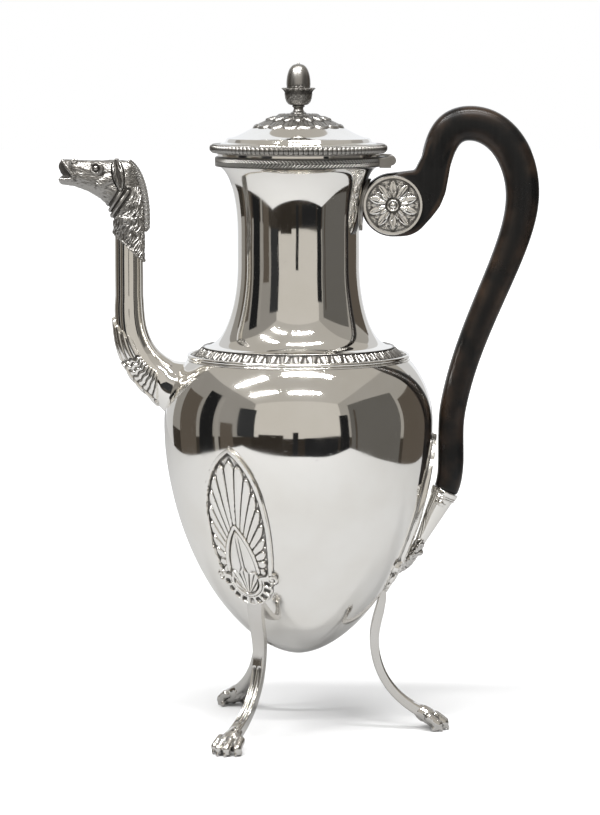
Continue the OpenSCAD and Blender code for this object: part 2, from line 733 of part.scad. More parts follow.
module finial_washer() {
    color("silver") translate([0, 0, washer_z]) difference() {
        cylinder(r = 5, h = washer_t);
        cylinder(r = tail_r + solder, h = 4 * washer_t, center = true);
    }
}
module finial_nut() {
    nut_t = 2.5;
    color("silver") translate([0, 0, washer_z - solder - nut_t]) difference() {
        cylinder(r = 3.2, h = nut_t, $fn = 6);
        cylinder(r = tail_r + solder, h = 4 * nut_t, center = true);
    }
}

// Hinge

module at_hinge() {
    translate([hinge_x, 0, hinge_z]) rotate([90, 0, 0]) children();
}
module hinge_pot_leaf() {
    low_z = hinge_z - barrel_r - swing_gap - leaf_t;
    reach = hinge_x - mouth_r;
    color("silver") difference() {
        union() {
            translate([mouth_r, -hinge_l / 2, low_z]) cube([reach, hinge_l, leaf_t]);
            for (side = [-1, 1]) translate([0, side * (hinge_l - pot_knuckle_l) / 2, 0]) {
                at_hinge() cylinder(r = barrel_r, h = pot_knuckle_l, center = true);
                translate([mouth_r, -pot_knuckle_l / 2, low_z]) cube([reach, pot_knuckle_l, barrel_r]);
            }
        }
        at_hinge() cylinder(r = hinge_pin_r + pin_gap / 2, h = 2 * hinge_l, center = true);
        cylinder(r = rim_r + solder, h = 2 * rim_z);
    }
}
module hinge_pin() {
    color("silver") at_hinge() cylinder(r = hinge_pin_r, h = hinge_l + 1, center = true);
}
module hinge_lid_leaf() {
    color("silver") difference() {
        union() {
            at_hinge() cylinder(r = barrel_r, h = lid_knuckle_l, center = true);
            translate([step_r, -lid_knuckle_l / 2, lid_z + solder]) cube([hinge_x - step_r, lid_knuckle_l, leaf_t]);
        }
        at_hinge() cylinder(r = hinge_pin_r + pin_gap, h = 2 * hinge_l, center = true);
        translate([0, 0, rim_z]) cylinder(r = mouth_r + solder, h = border_h);
        cylinder(r = rim_r + swing_gap, h = rim_z + swing_gap / 2);
    }
}

bowl();
neck();
shoulder_wire();
shoulder_band();
rim_band();
spout_tube();
spout_leaf();
horse_head();
mane();
palmette(0);  // palmette_handle
palmette(240);  // palmette_front
palmette(120);  // palmette_rear
leg(0);  // leg_handle
leg(240);  // leg_front
leg(120);  // leg_rear
paw(0);  // paw_handle
paw(240);  // paw_front
paw(120);  // paw_rear
neck_mount();
handle_grip();
rosette(-1);  // rosette_front
rosette(1);  // rosette_rear
rosette_pin();
ferrule();
ferrule_collar();
ferrule_pin();
lower_bracket();
hinge_pot_leaf();
hinge_pin();
hinge_lid_leaf();
lid_dome();
lid_border();
lid_bezel();
calyx();
acorn_cup();
acorn();
finial_washer();
finial_nut();
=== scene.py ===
import math

import bmesh
import bpy
import numpy as np
from bpy.props import FloatProperty, FloatVectorProperty, IntProperty, PointerProperty
from mathutils import Matrix, Vector, noise


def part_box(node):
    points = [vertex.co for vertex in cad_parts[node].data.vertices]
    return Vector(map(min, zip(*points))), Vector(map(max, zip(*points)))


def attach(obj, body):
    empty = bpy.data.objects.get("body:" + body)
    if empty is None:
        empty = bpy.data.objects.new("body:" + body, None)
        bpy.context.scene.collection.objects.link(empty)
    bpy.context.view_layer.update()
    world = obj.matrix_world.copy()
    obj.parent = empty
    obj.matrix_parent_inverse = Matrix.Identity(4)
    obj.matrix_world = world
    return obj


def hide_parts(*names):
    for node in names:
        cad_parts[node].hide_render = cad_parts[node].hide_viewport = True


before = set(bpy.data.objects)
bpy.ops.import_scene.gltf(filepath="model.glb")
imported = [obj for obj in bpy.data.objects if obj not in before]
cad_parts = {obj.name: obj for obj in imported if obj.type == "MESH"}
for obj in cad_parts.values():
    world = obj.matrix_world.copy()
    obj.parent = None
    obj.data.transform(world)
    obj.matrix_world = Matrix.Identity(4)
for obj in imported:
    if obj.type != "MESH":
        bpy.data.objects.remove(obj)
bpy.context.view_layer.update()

bl_info = {
    "name": "Silver coffee pot",
    "version": (1, 0, 0),
    "blender": (4, 5, 0),
    "location": "3D View > Sidebar > Coffee pot",
    "description": "Builds the pieces, finishes and studio of a silver coffee pot with a horse's-head spout",
    "category": "Object",
}

# Shapes are worked in millimetres and end in metres
MM = 0.001
WELD = 0.002
FULL_TURN = 2 * math.pi
LEG_ANGLES = {"handle": 0, "rear": 120, "front": 240}


def length(label, text, default):
    """Size of the pot that a user may change, in metres."""
    return FloatProperty(name=label, description=text, default=default, min=0.0001, max=0.5, unit="LENGTH")


def count(label, text, default):
    """Number of repeats in an ornament."""
    return IntProperty(name=label, description=text, default=default, min=4, max=300)


def colour(label, text, default):
    """Colour of a finish."""
    return FloatVectorProperty(name=label, description=text, default=default, min=0, max=1, size=3,
                               subtype="COLOR")


def share(label, text, default):
    """Part of a whole, from 0 to 1."""
    return FloatProperty(name=label, description=text, default=default, min=0, max=1, subtype="FACTOR")


class PotSizes(bpy.types.PropertyGroup):
    """Sizes of the coffee pot."""

    belly_radius: length("Belly radius", "Outside of the bowl at its widest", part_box("bowl")[1].x)
    bowl_bottom: length("Bowl bottom", "Height of the bowl's bottom above the table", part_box("bowl")[0].z)
    bowl_depth: length("Bowl depth", "Depth of the bowl below its widest level", 0.1075)
    seam_radius: length("Seam radius", "Radius of the seam between bowl and neck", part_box("neck")[1].x)
    seam_height: length("Seam height", "Height of the seam above the table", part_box("neck")[0].z)
    waist_radius: length("Waist radius", "Outside of the neck at its waist", 0.0282)
    mouth_radius: length("Mouth radius", "Outside of the neck at its mouth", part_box("lid_dome")[1].x)
    lip_height: length("Lip height", "Height of the mouth above the table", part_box("neck")[1].z)
    rim_height: length("Rim height", "Height of the rim band's top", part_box("rim_band")[1].z)
    silver_gauge: length("Silver gauge", "Thickness of the silver sheet", 0.001)
    spout_radius: length("Spout radius", "Outside of the spout's upright stretch", 0.0066)
    scroll_radius: length("Scroll radius", "Radius of the scroll at the top of the handle", 0.0145)
    leg_width: length("Leg width", "Width of a leg at its waist", 0.0064)
    shoulder_leaves: count("Shoulder leaves", "Leaves round the shoulder band", 46)
    rim_leaves: count("Rim leaves", "Pairs of leaves round the rim band", 140)
    border_leaves: count("Border leaves", "Leaves round the lid's border", 112)
    calyx_lobes: count("Calyx lobes", "Lobes round the leaf plate on the lid", 16)
    rosette_petals: count("Rosette petals", "Long petals of a flower disc", 10)
    palmette_tongues: count("Palmette tongues", "Tongues on each side of a palmette", 9)


class PotFinishes(bpy.types.PropertyGroup):
    """Colours and polish of the coffee pot and its stage."""

    silver: colour("Silver", "Polished silver", (0.93, 0.915, 0.885))
    worn_silver: colour("Worn silver", "Silver of the legs, less bright than the bowl", (0.70, 0.685, 0.66))
    cast_silver: colour("Cast silver", "Cast and chased silver, less bright", (0.40, 0.39, 0.375))
    # Tarnish colour of the hollows, also used as painted shade inside the horse's open mouth
    tarnish: colour("Tarnish", "Dark bloom in the hollows", (0.035, 0.031, 0.027))
    wood: colour("Ebonised wood", "Black stained wood", (0.0022, 0.0022, 0.0023))
    wood_grain: colour("Wood grain", "Paler streaks in the wood", (0.0044, 0.0041, 0.0040))
    worn_wood: colour("Worn wood", "Brown wood where the stain has rubbed off", (0.03, 0.018, 0.011))
    floor: colour("Floor", "Pale table top", (0.86, 0.86, 0.86))
    roughness: share("Roughness", "Roughness of the polished silver", 0.045)
    tarnish_amount: share("Tarnish amount", "How dark the hollows are", 0.9)


def clamp(x, low=0.0, high=1.0):
    """x held between two limits."""
    return max(low, min(high, x))


def ease(start, end, x):
    """Soft step from 0 at start to 1 at end."""
    t = clamp((x - start) / (end - start))
    return t * t * (3 - 2 * t)


def mound(x, half_width):
    """Rounded ridge: 1 at the middle and 0 from half_width on."""
    return max(0.0, 1 - (x / half_width) ** 2)


def dome(x, half_width):
    """Half-round ridge: 1 at the middle and 0 from half_width on."""
    return math.sqrt(mound(x, half_width))


def cell(x):
    """Place within one repeat, from -0.5 to 0.5."""
    return x - math.floor(x) - 0.5


def bezier(p, t):
    """Point of a cubic curve."""
    s = 1 - t
    return p[0] * s ** 3 + p[1] * (3 * t * s * s) + p[2] * (3 * t * t * s) + p[3] * t ** 3


def bezier_slope(p, t):
    """Direction of a cubic curve."""
    s = 1 - t
    return ((p[1] - p[0]) * (s * s) + (p[2] - p[1]) * (2 * t * s) + (p[3] - p[2]) * (t * t)).normalized()


def along(curves, t):
    """Point and direction at t from 0 to 1 on a chain of curves, each with an equal share of t."""
    x = clamp(t) * len(curves)
    i = min(int(x), len(curves) - 1)
    return bezier(curves[i], x - i), bezier_slope(curves[i], x - i)


def between(values, t):
    """Value part way along a list, eased by straight lines."""
    x = clamp(t) * (len(values) - 1)
    i = min(int(x), len(values) - 2)
    return values[i] + (values[i + 1] - values[i]) * (x - i)


def offset_outline(points, distance):
    """Outline moved sideways: outwards, where it runs upwards."""
    moved = []
    for i, (r, z) in enumerate(points):
        before = points[max(i - 1, 0)]
        after = points[min(i + 1, len(points) - 1)]
        run = Vector((after[0] - before[0], after[1] - before[1])).normalized()
        moved.append((max(0.0, r + distance * run.y), z - distance * run.x))
    return moved


def soften(points, radius, steps=4):
    """Outline with its corners rounded."""
    rounded = [points[0]]
    for before, corner, after in zip(points, points[1:], points[2:]):
        a, b, c = Vector(before), Vector(corner), Vector(after)
        reach = min(radius, (a - b).length / 2, (c - b).length / 2)
        start = b + (a - b).normalized() * reach
        end = b + (c - b).normalized() * reach
        for i in range(steps + 1):
            t = i / steps
            rounded.append(tuple(start.lerp(b, t).lerp(b.lerp(end, t), t)))
    rounded.append(points[-1])
    return rounded


def straight(start, end, steps):
    """Points along a straight line of an outline, both ends among them."""
    return [tuple(Vector(start).lerp(Vector(end), i / steps)) for i in range(steps + 1)]


def arc(middle, radius, start, end, steps):
    """Points of a round outline between two angles, both ends among them."""
    angles = [start + (end - start) * i / steps for i in range(steps + 1)]
    return [(middle[0] + radius * math.cos(a), middle[1] + radius * math.sin(a)) for a in angles]


class PotShape:
    """Sizes in millimetres, and the outlines that several pieces share."""

    bowl_power = 1.85
    bowl_round = 0.57
    shoulder_power = 2.2
    shoulder_rise = 49
    foot_r = 48.2
    flare_r = 43.4
    foot_h = 5
    flare_h = 38
    waist_h = 14
    lid_gap = 0.3
    dome_lift = 8.1
    dome_inset = 6
    dome_rise = 10
    dome_power = 1.35
    cup_foot_r = 4.4

    def __init__(self, sizes):
        for name in PotSizes.__annotations__:
            value = getattr(sizes, name)
            setattr(self, name, value / MM if isinstance(value, float) else value)
        self.belly_z = self.bowl_bottom + self.bowl_depth
        self.cone_z = self.seam_height + self.silver_gauge
        self.flare_z = self.cone_z + self.foot_h
        self.waist_z = self.flare_z + self.flare_h
        self.throat_z = self.waist_z + self.waist_h
        self.lip_rise = self.lip_height - self.throat_z
        self.lid_z = self.rim_height + self.lid_gap
        self.dome_z = self.lid_z + self.dome_lift
        self.dome_r = self.mouth_radius - self.dome_inset
        self.dome_top_z = self.dome_z + self.dome_rise

    def bowl_radius(self, z):
        """Outside radius of the bowl at a height."""
        if z < self.belly_z:
            drop = clamp((self.belly_z - z) / self.bowl_depth)
            return self.belly_radius * (1 - drop ** self.bowl_power) ** self.bowl_round
        rise = clamp((z - self.belly_z) / self.shoulder_rise)
        return self.belly_radius * (1 - rise ** self.shoulder_power) ** (1 / self.shoulder_power)

    def bowl_outline(self, low_steps=80, high_steps=36):
        """Outside of the bowl from its bottom to its seam."""
        low = [self.belly_z - self.bowl_depth * (1 - (i / low_steps) ** 2) for i in range(low_steps + 1)]
        rise = self.seam_height - self.belly_z
        high = [self.belly_z + rise * math.sin(math.pi / 2 * i / high_steps)
                for i in range(1, high_steps + 1)]
        outline = [(self.bowl_radius(z), z) for z in low + high]
        return [(0.0, outline[0][1])] + outline[1:-1] + [(self.seam_radius, self.seam_height)]

    def neck_outline(self, steps=40):
        """Outside of the neck from the foot of its cone to the mouth."""
        quarter = [math.pi / 2 * i / steps for i in range(steps + 1)]
        lower = [(self.flare_r - (self.flare_r - self.waist_radius) * math.sin(a),
                  self.waist_z - self.flare_h * math.cos(a)) for a in quarter]
        upper = [(self.mouth_radius - (self.mouth_radius - self.waist_radius) * math.cos(a),
                  self.throat_z + self.lip_rise * math.sin(a)) for a in quarter]
        waist = straight(lower[-1], upper[0], 8)[1:-1]
        return [(self.foot_r, self.cone_z)] + lower + waist + upper

    def dome_height(self, r):
        """Height of the lid's dome at a radius."""
        r = clamp(r, self.cup_foot_r, self.dome_r)
        t = (self.dome_r - r) / (self.dome_r - self.cup_foot_r)
        return self.dome_z + self.dome_rise * math.sin(math.pi / 2 * t) ** self.dome_power

    def on_bowl(self, across, z, height):
        """Point over the bowl, at a sideways distance from the plane of angle 0."""
        r = self.bowl_radius(z)
        step = 0.2
        slope = (self.bowl_radius(z + step) - self.bowl_radius(z - step)) / (2 * step)
        out = Vector((1, -slope)).normalized()
        angle = math.asin(clamp(across / r, -1, 1))
        reach = r + out.x * height
        return Vector((reach * math.cos(angle), reach * math.sin(angle), z + out.y * height))


# Ways of making a mesh

def turn(profile, steps=160, closed=False):
    """Spins an outline of (radius, height) points round the pot's axis."""
    bm = bmesh.new()
    verts = [bm.verts.new((r, 0, z)) for r, z in profile]
    edges = [bm.edges.new(pair) for pair in zip(verts, verts[1:])]
    if closed:
        edges.append(bm.edges.new((verts[-1], verts[0])))
    bmesh.ops.spin(bm, geom=verts + edges, cent=(0, 0, 0), axis=(0, 0, 1), angle=FULL_TURN, steps=steps,
                   use_merge=True)
    return welded(bm)


def welded(bm):
    """Merges doubles and turns all faces outwards."""
    bmesh.ops.remove_doubles(bm, verts=bm.verts, dist=WELD)
    bmesh.ops.dissolve_degenerate(bm, edges=bm.edges, dist=WELD / 4)
    bmesh.ops.recalc_face_normals(bm, faces=bm.faces)
    return bm


def polar(vert):
    """Radius and angle of a point round the pot's axis."""
    return math.hypot(vert.co.x, vert.co.y), math.atan2(vert.co.y, vert.co.x)


def put_round(vert, r, angle, z):
    """Puts a point at a radius and angle round the pot's axis, and at a height."""
    vert.co = (r * math.cos(angle), r * math.sin(angle), z)


def chase(bm, start, end, relief):
    """Raises the turned face between two outline points by relief(angle, share of the face)."""
    start, end = Vector(start), Vector(end)
    run = end - start
    out = Vector((run.y, -run.x)).normalized()
    for vert in bm.verts:
        r, angle = polar(vert)
        place = Vector((r, vert.co.z)) - start
        s = place.dot(run) / run.length_squared
        if -0.001 < s < 1.001 and abs(place.dot(out)) < 0.01:
            height = relief(angle, s)
            put_round(vert, r + out.x * height, angle, vert.co.z + out.y * height)
    return bm


def skin(cols, rows, place):
    """Grid put where place(u, v) says, with its meeting sides welded and its open ends filled."""
    bm = bmesh.new()
    bmesh.ops.create_grid(bm, x_segments=cols, y_segments=rows, size=0.5)
    for vert in bm.verts:
        vert.co = place(vert.co.x + 0.5, vert.co.y + 0.5)
    bmesh.ops.remove_doubles(bm, verts=bm.verts, dist=WELD)
    bmesh.ops.holes_fill(bm, edges=bm.edges, sides=0)
    return welded(bm)


def plate(cols, rows, place):
    """Closed plate: a raised sheet and its flat back, which meet all round the edge."""
    bm = bmesh.new()
    for raised in (True, False):
        made = bmesh.ops.create_grid(bm, x_segments=cols, y_segments=rows, size=1)
        for vert in made["verts"]:
            vert.co = place(vert.co.x, vert.co.y, raised)
    return welded(bm)


def tube_point(point, direction, angle, half_t, half_w, power=2.0):
    """Point round a curve in the plane of spout and handle, on a section between an ellipse and a box."""
    c, s = math.cos(angle), math.sin(angle)
    reach = (abs(c) ** power + abs(s) ** power) ** (-1 / power)
    out = Vector((direction.y, -direction.x))
    offset = half_t * reach * c
    return Vector((point.x + out.x * offset, half_w * reach * s, point.y + out.y * offset))


def ball(bm, place, radius, squash=1.0):
    """Adds a ball that may be squashed across the pot."""
    made = bmesh.ops.create_uvsphere(bm, u_segments=20, v_segments=14, radius=radius)
    bmesh.ops.scale(bm, vec=(1, squash, 1), verts=made["verts"])
    bmesh.ops.translate(bm, vec=place, verts=made["verts"])


def add_drum(bm, place, low_r, high_r, depth, segments):
    """Adds an upright drum round a place and returns its points."""
    made = bmesh.ops.create_cone(bm, cap_ends=True, segments=segments, radius1=low_r, radius2=high_r,
                                 depth=depth)
    bmesh.ops.translate(bm, vec=place, verts=made["verts"])
    return made["verts"]


def prism(profile, start, end):
    """Solid with an outline of (x, z) points between two sideways places."""
    bm = bmesh.new()
    face = bm.faces.new([bm.verts.new((x, start, z)) for x, z in profile])
    made = bmesh.ops.extrude_face_region(bm, geom=[face])
    moved = [g for g in made["geom"] if isinstance(g, bmesh.types.BMVert)]
    bmesh.ops.translate(bm, vec=(0, end - start, 0), verts=moved)
    bmesh.ops.recalc_face_normals(bm, faces=bm.faces)
    return bm


def hull(bm):
    """Closes the points of a bmesh in their convex hull."""
    bmesh.ops.delete(bm, geom=bm.edges[:], context="EDGES_FACES")
    made = bmesh.ops.convex_hull(bm, input=bm.verts[:], use_existing_faces=False)
    inside = [g for g in made["geom_interior"] if isinstance(g, bmesh.types.BMVert)]
    bmesh.ops.delete(bm, geom=inside, context="VERTS")
    return bm


def limb(bm, *stations):
    """Adds a chain of tapering rods through stations of (place, radius, squash)."""
    for pair in zip(stations, stations[1:]):
        rod = bmesh.new()
        for station in pair:
            ball(rod, *station)
        append(bm, hull(rod))


def append(bm, extra):
    """Adds one bmesh to another and frees it."""
    mesh = bpy.data.meshes.new("extra")
    extra.to_mesh(mesh)
    extra.free()
    bm.from_mesh(mesh)
    bpy.data.meshes.remove(mesh)


def work_object(bm):
    """Puts a bmesh in a short-lived object for modifiers."""
    mesh = bpy.data.meshes.new("work")
    bm.to_mesh(mesh)
    bm.free()
    obj = bpy.data.objects.new("work", mesh)
    bpy.context.scene.collection.objects.link(obj)
    return obj


def modified(obj, *tools):
    """Bmesh of a short-lived object after its modifiers; the object and the tools' objects are removed."""
    bpy.context.view_layer.update()
    shaped = obj.evaluated_get(bpy.context.evaluated_depsgraph_get())
    mesh = bpy.data.meshes.new_from_object(shaped)
    bm = bmesh.new()
    bm.from_mesh(mesh)
    bpy.data.meshes.remove(mesh)
    for old in (obj, *tools):
        data = old.data
        bpy.data.objects.remove(old)
        bpy.data.meshes.remove(data)
    return bm


def cut(bm, tool):
    """Takes the shape of a closed tool away from a closed shape."""
    obj, knife = work_object(bm), work_object(tool)
    modifier = obj.modifiers.new("Cut", "BOOLEAN")
    modifier.operation = "DIFFERENCE"
    modifier.solver = "EXACT"
    modifier.object = knife
    return modified(obj, knife)


def fuse(bm, voxel, rounds):
    """Melts overlapping closed shapes into one skin and smooths it."""
    obj = work_object(bm)
    modifier = obj.modifiers.new("Fuse", "REMESH")
    modifier.mode = "VOXEL"
    modifier.voxel_size = voxel
    bm = modified(obj)
    for _ in range(rounds):
        bmesh.ops.smooth_vert(bm, verts=bm.verts, factor=0.5,
                              use_axis_x=True, use_axis_y=True, use_axis_z=True)
    return bm


def sliced(bm, place, normal):
    """Takes away what lies behind a plane and closes the cut."""
    whole = bm.verts[:] + bm.edges[:] + bm.faces[:]
    made = bmesh.ops.bisect_plane(bm, geom=whole, plane_co=place, plane_no=normal, clear_inner=True)
    edges = [g for g in made["geom_cut"] if isinstance(g, bmesh.types.BMEdge)]
    bmesh.ops.holes_fill(bm, edges=edges, sides=0)
    return bm


def sculpt(bm, height):
    """Moves every point along its normal by height(place, normal)."""
    bm.normal_update()
    moves = [vert.normal * height(vert.co, vert.normal) for vert in bm.verts]
    for vert, move in zip(bm.verts, moves):
        vert.co += move
    return bm


def planished(bm, depth, size):
    """Leaves the faint unevenness of hammered and polished sheet."""
    return sculpt(bm, lambda place, normal: depth * noise.noise(place / size))


def without_slivers(bm):
    """Cuts all faces into triangles and takes away those that lie back to back."""
    bmesh.ops.triangulate(bm, faces=bm.faces)
    bm.verts.index_update()
    twins = {}
    for face in bm.faces:
        twins.setdefault(frozenset(vert.index for vert in face.verts), []).append(face)
    doubled = [face for same in twins.values() if len(same) > 1 for face in same]
    bmesh.ops.delete(bm, geom=doubled, context="FACES")
    return bm


def roll(bm, angle, axis, verts=None):
    """Turns points about an axis through the origin: all of them, if none are given."""
    bmesh.ops.rotate(bm, cent=(0, 0, 0), matrix=Matrix.Rotation(angle, 3, axis), verts=verts or bm.verts)


def turned_copy(bm, degrees):
    """Copy of a bmesh turned round the pot's axis."""
    new = bm.copy()
    roll(new, math.radians(degrees), "Z")
    return new


def mark_hollows(mesh, rounds, depth):
    """Stores how far each point lies under its smoothed surroundings, for tarnish in the hollows."""
    total = len(mesh.vertices)
    points = np.empty(total * 3)
    mesh.vertices.foreach_get("co", points)
    points = points.reshape(-1, 3)
    normals = np.empty(total * 3)
    mesh.vertices.foreach_get("normal", normals)
    ends = np.empty(len(mesh.edges) * 2, dtype=np.int64)
    mesh.edges.foreach_get("vertices", ends)
    first, second = ends[0::2], ends[1::2]
    degree = np.maximum(np.bincount(ends, minlength=total), 1)
    flat = points.copy()
    for _ in range(rounds):
        for axis in range(3):
            near = np.bincount(first, flat[second, axis], total)
            near = near + np.bincount(second, flat[first, axis], total)
            flat[:, axis] = (flat[:, axis] + near / degree) / 2
    under = ((flat - points) * normals.reshape(-1, 3)).sum(axis=1) / depth
    store = mesh.attributes.new("hollow", "FLOAT", "POINT")
    store.data.foreach_set("value", np.clip(under, -1, 1).astype(np.float32))


def add_piece(bm, name, material, nodes, body="pot", crease=38,
              hollow_rounds=0, hollow_depth=0.2):
    """Turns a bmesh in millimetres into a piece of the pot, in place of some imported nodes."""
    bmesh.ops.transform(bm, matrix=Matrix.Scale(MM, 4), verts=bm.verts)
    mesh = bpy.data.meshes.new(name)
    bm.to_mesh(mesh)
    bm.free()
    mesh.shade_smooth()
    mesh.set_sharp_from_angle(angle=math.radians(crease))
    if hollow_rounds:
        mark_hollows(mesh, hollow_rounds, hollow_depth * MM)
    piece = bpy.data.objects.new(name, mesh)
    bpy.context.scene.collection.objects.link(piece)
    mesh.materials.append(material)
    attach(piece, body)
    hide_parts(*nodes)
    return piece


# Finishes

def new_group(name, inputs, outputs):
    """Shader node group with number sockets; returns it with its input and output nodes."""
    group = bpy.data.node_groups.new(name, "ShaderNodeTree")
    for label, default in inputs:
        socket = group.interface.new_socket(label, in_out="INPUT", socket_type="NodeSocketFloat")
        socket.default_value = default
    for label in outputs:
        group.interface.new_socket(label, in_out="OUTPUT", socket_type="NodeSocketFloat")
    return group, group.nodes.new("NodeGroupInput"), group.nodes.new("NodeGroupOutput")


def add_noise(tree, scale, stretch=(1, 1, 1), turn_by=(0, 0, 0), detail=3.0):
    """Noise over Object coordinates, stretched and turned; returns its value socket."""
    place = tree.nodes.new("ShaderNodeTexCoord")
    mapping = tree.nodes.new("ShaderNodeMapping")
    mapping.inputs["Scale"].default_value = stretch
    mapping.inputs["Rotation"].default_value = turn_by
    pattern = tree.nodes.new("ShaderNodeTexNoise")
    pattern.inputs["Scale"].default_value = scale
    pattern.inputs["Detail"].default_value = detail
    tree.links.new(place.outputs["Object"], mapping.inputs["Vector"])
    tree.links.new(mapping.outputs["Vector"], pattern.inputs["Vector"])
    return pattern.outputs["Fac"]


def add_range(tree, value, low, high, to_low=0.0, to_high=1.0):
    """Maps a value from one range to another, held at its ends."""
    node = tree.nodes.new("ShaderNodeMapRange")
    node.inputs["From Min"].default_value = low
    node.inputs["From Max"].default_value = high
    node.inputs["To Min"].default_value = to_low
    node.inputs["To Max"].default_value = to_high
    tree.links.new(value, node.inputs["Value"])
    return node.outputs["Result"]


def add_math(tree, operation, first, second):
    """Sum, product or other result of two values, each a socket or a number."""
    node = tree.nodes.new("ShaderNodeMath")
    node.operation = operation
    for socket, value in zip(node.inputs, (first, second)):
        if isinstance(value, (int, float)):
            socket.default_value = value
        else:
            tree.links.new(value, socket)
    return node.outputs["Value"]


def add_mix(tree, factor, first, second):
    """Colour between two, each a socket or a colour."""
    node = tree.nodes.new("ShaderNodeMix")
    node.data_type = "RGBA"
    tree.links.new(factor, node.inputs["Factor"])
    for socket, value in ((node.inputs["A"], first), (node.inputs["B"], second)):
        if isinstance(value, bpy.types.NodeSocket):
            tree.links.new(value, socket)
        else:
            socket.default_value = (*value, 1)
    return node.outputs["Result"]


def polish_marks():
    """Group of hand-polishing marks: cloudy smudges and fine scratches."""
    if "Polish marks" in bpy.data.node_groups:
        return bpy.data.node_groups["Polish marks"]
    group, given, result = new_group("Polish marks", [("Strength", 1.0)], ["Smudge", "Scratch"])
    smudge = add_range(group, add_noise(group, 85, detail=5), 0.42, 0.72)
    fine = add_noise(group, 1, stretch=(2600, 2600, 90), turn_by=(0.5, 0.3, 0), detail=2)
    crossed = add_noise(group, 1, stretch=(110, 2400, 2400), turn_by=(0.2, 0.4, 0.7), detail=2)
    scratch = add_math(group, "MAXIMUM", add_range(group, fine, 0.70, 0.80),
                       add_range(group, crossed, 0.71, 0.81))
    for value, label in ((smudge, "Smudge"), (scratch, "Scratch")):
        group.links.new(add_math(group, "MULTIPLY", value, given.outputs["Strength"]), result.inputs[label])
    return group


def hollow_marks():
    """Group that finds hollows, where tarnish stays, and proud edges, where rubbing shows. Inside the horse's
    open mouth the hollow carries painted shade.
    """
    if "Hollow marks" in bpy.data.node_groups:
        return bpy.data.node_groups["Hollow marks"]
    group, given, result = new_group("Hollow marks", [("Amount", 1.0)], ["Hollow", "Edge"])
    stored = group.nodes.new("ShaderNodeAttribute")
    stored.attribute_name = "hollow"
    patchy = add_range(group, add_noise(group, 420, detail=4), 0.3, 0.7, 0.75, 1.0)
    deep = add_math(group, "MULTIPLY", add_range(group, stored.outputs["Fac"], 0.06, 0.62), patchy)
    group.links.new(add_math(group, "MULTIPLY", deep, given.outputs["Amount"]), result.inputs["Hollow"])
    proud = add_range(group, stored.outputs["Fac"], -0.25, -0.9)
    group.links.new(add_math(group, "MULTIPLY", proud, patchy), result.inputs["Edge"])
    return group


def new_material(name):
    """Material with a Principled shader; returns it with its tree and shader."""
    material = bpy.data.materials.new(name)
    material.use_nodes = True
    return material, material.node_tree, material.node_tree.nodes["Principled BSDF"]


def add_group(tree, group, **values):
    """Places a node group in a material with its own values."""
    node = tree.nodes.new("ShaderNodeGroup")
    node.node_tree = group
    for label, value in values.items():
        node.inputs[label].default_value = value
    return node


def add_bump(tree, shader, height, strength, distance):
    """Feeds a height to the shader's normal."""
    node = tree.nodes.new("ShaderNodeBump")
    node.inputs["Strength"].default_value = strength
    node.inputs["Distance"].default_value = distance
    tree.links.new(height, node.inputs["Height"])
    tree.links.new(node.outputs["Normal"], shader.inputs["Normal"])


def silver_material(name, base, roughness, marks, grain):
    """Silver with polishing marks, tarnish in its hollows and a faint grain."""
    if name in bpy.data.materials:
        return bpy.data.materials[name]
    finishes = bpy.context.scene.pot_finishes
    material, tree, shader = new_material(name)
    shader.inputs["Metallic"].default_value = 1.0
    polish = add_group(tree, polish_marks(), Strength=marks)
    hollows = add_group(tree, hollow_marks(), Amount=finishes.tarnish_amount)
    bloom = add_range(tree, add_noise(tree, 38, detail=4), 0.35, 0.75)
    faded = tuple(0.93 * part for part in base)
    tinted = add_mix(tree, bloom, base, (faded[0], faded[1] * 0.99, faded[2] * 0.965))
    # Tarnish colour in the hollows; inside the horse's open mouth the same colour is painted shade
    shade = add_mix(tree, hollows.outputs["Hollow"], tinted, finishes.tarnish)
    tree.links.new(shade, shader.inputs["Base Color"])
    dull = add_math(tree, "MULTIPLY", polish.outputs["Smudge"], 0.05)
    worn = add_math(tree, "MULTIPLY", hollows.outputs["Hollow"], 0.30)
    rough = add_math(tree, "ADD", add_math(tree, "ADD", dull, worn), roughness)
    tree.links.new(rough, shader.inputs["Roughness"])
    pitted = add_math(tree, "MULTIPLY", add_noise(tree, 900, detail=2), grain)
    height = add_math(tree, "SUBTRACT", pitted, polish.outputs["Scratch"])
    add_bump(tree, shader, height, strength=0.12, distance=0.00004)
    return material


def polished_silver():
    """Mirror-bright raised sheet."""
    finishes = bpy.context.scene.pot_finishes
    return silver_material("polished_silver", finishes.silver, finishes.roughness,
                           marks=1.0, grain=0.2)


def chased_silver():
    """Bright chased ornament with tarnish in its hollows."""
    finishes = bpy.context.scene.pot_finishes
    return silver_material("chased_silver", finishes.silver, finishes.roughness + 0.08,
                           marks=1.0, grain=1.0)


def worn_silver():
    """Silver of the legs, paws and bracket, dulled by handling."""
    finishes = bpy.context.scene.pot_finishes
    return silver_material("worn_silver", finishes.worn_silver, finishes.roughness + 0.06,
                           marks=1.2, grain=1.0)


def cast_silver():
    """Dull cast silver of the head, mane, finial, lid leaves, bands and hinge."""
    finishes = bpy.context.scene.pot_finishes
    return silver_material("cast_silver", finishes.cast_silver, finishes.roughness + 0.24,
                           marks=1.2, grain=3.0)


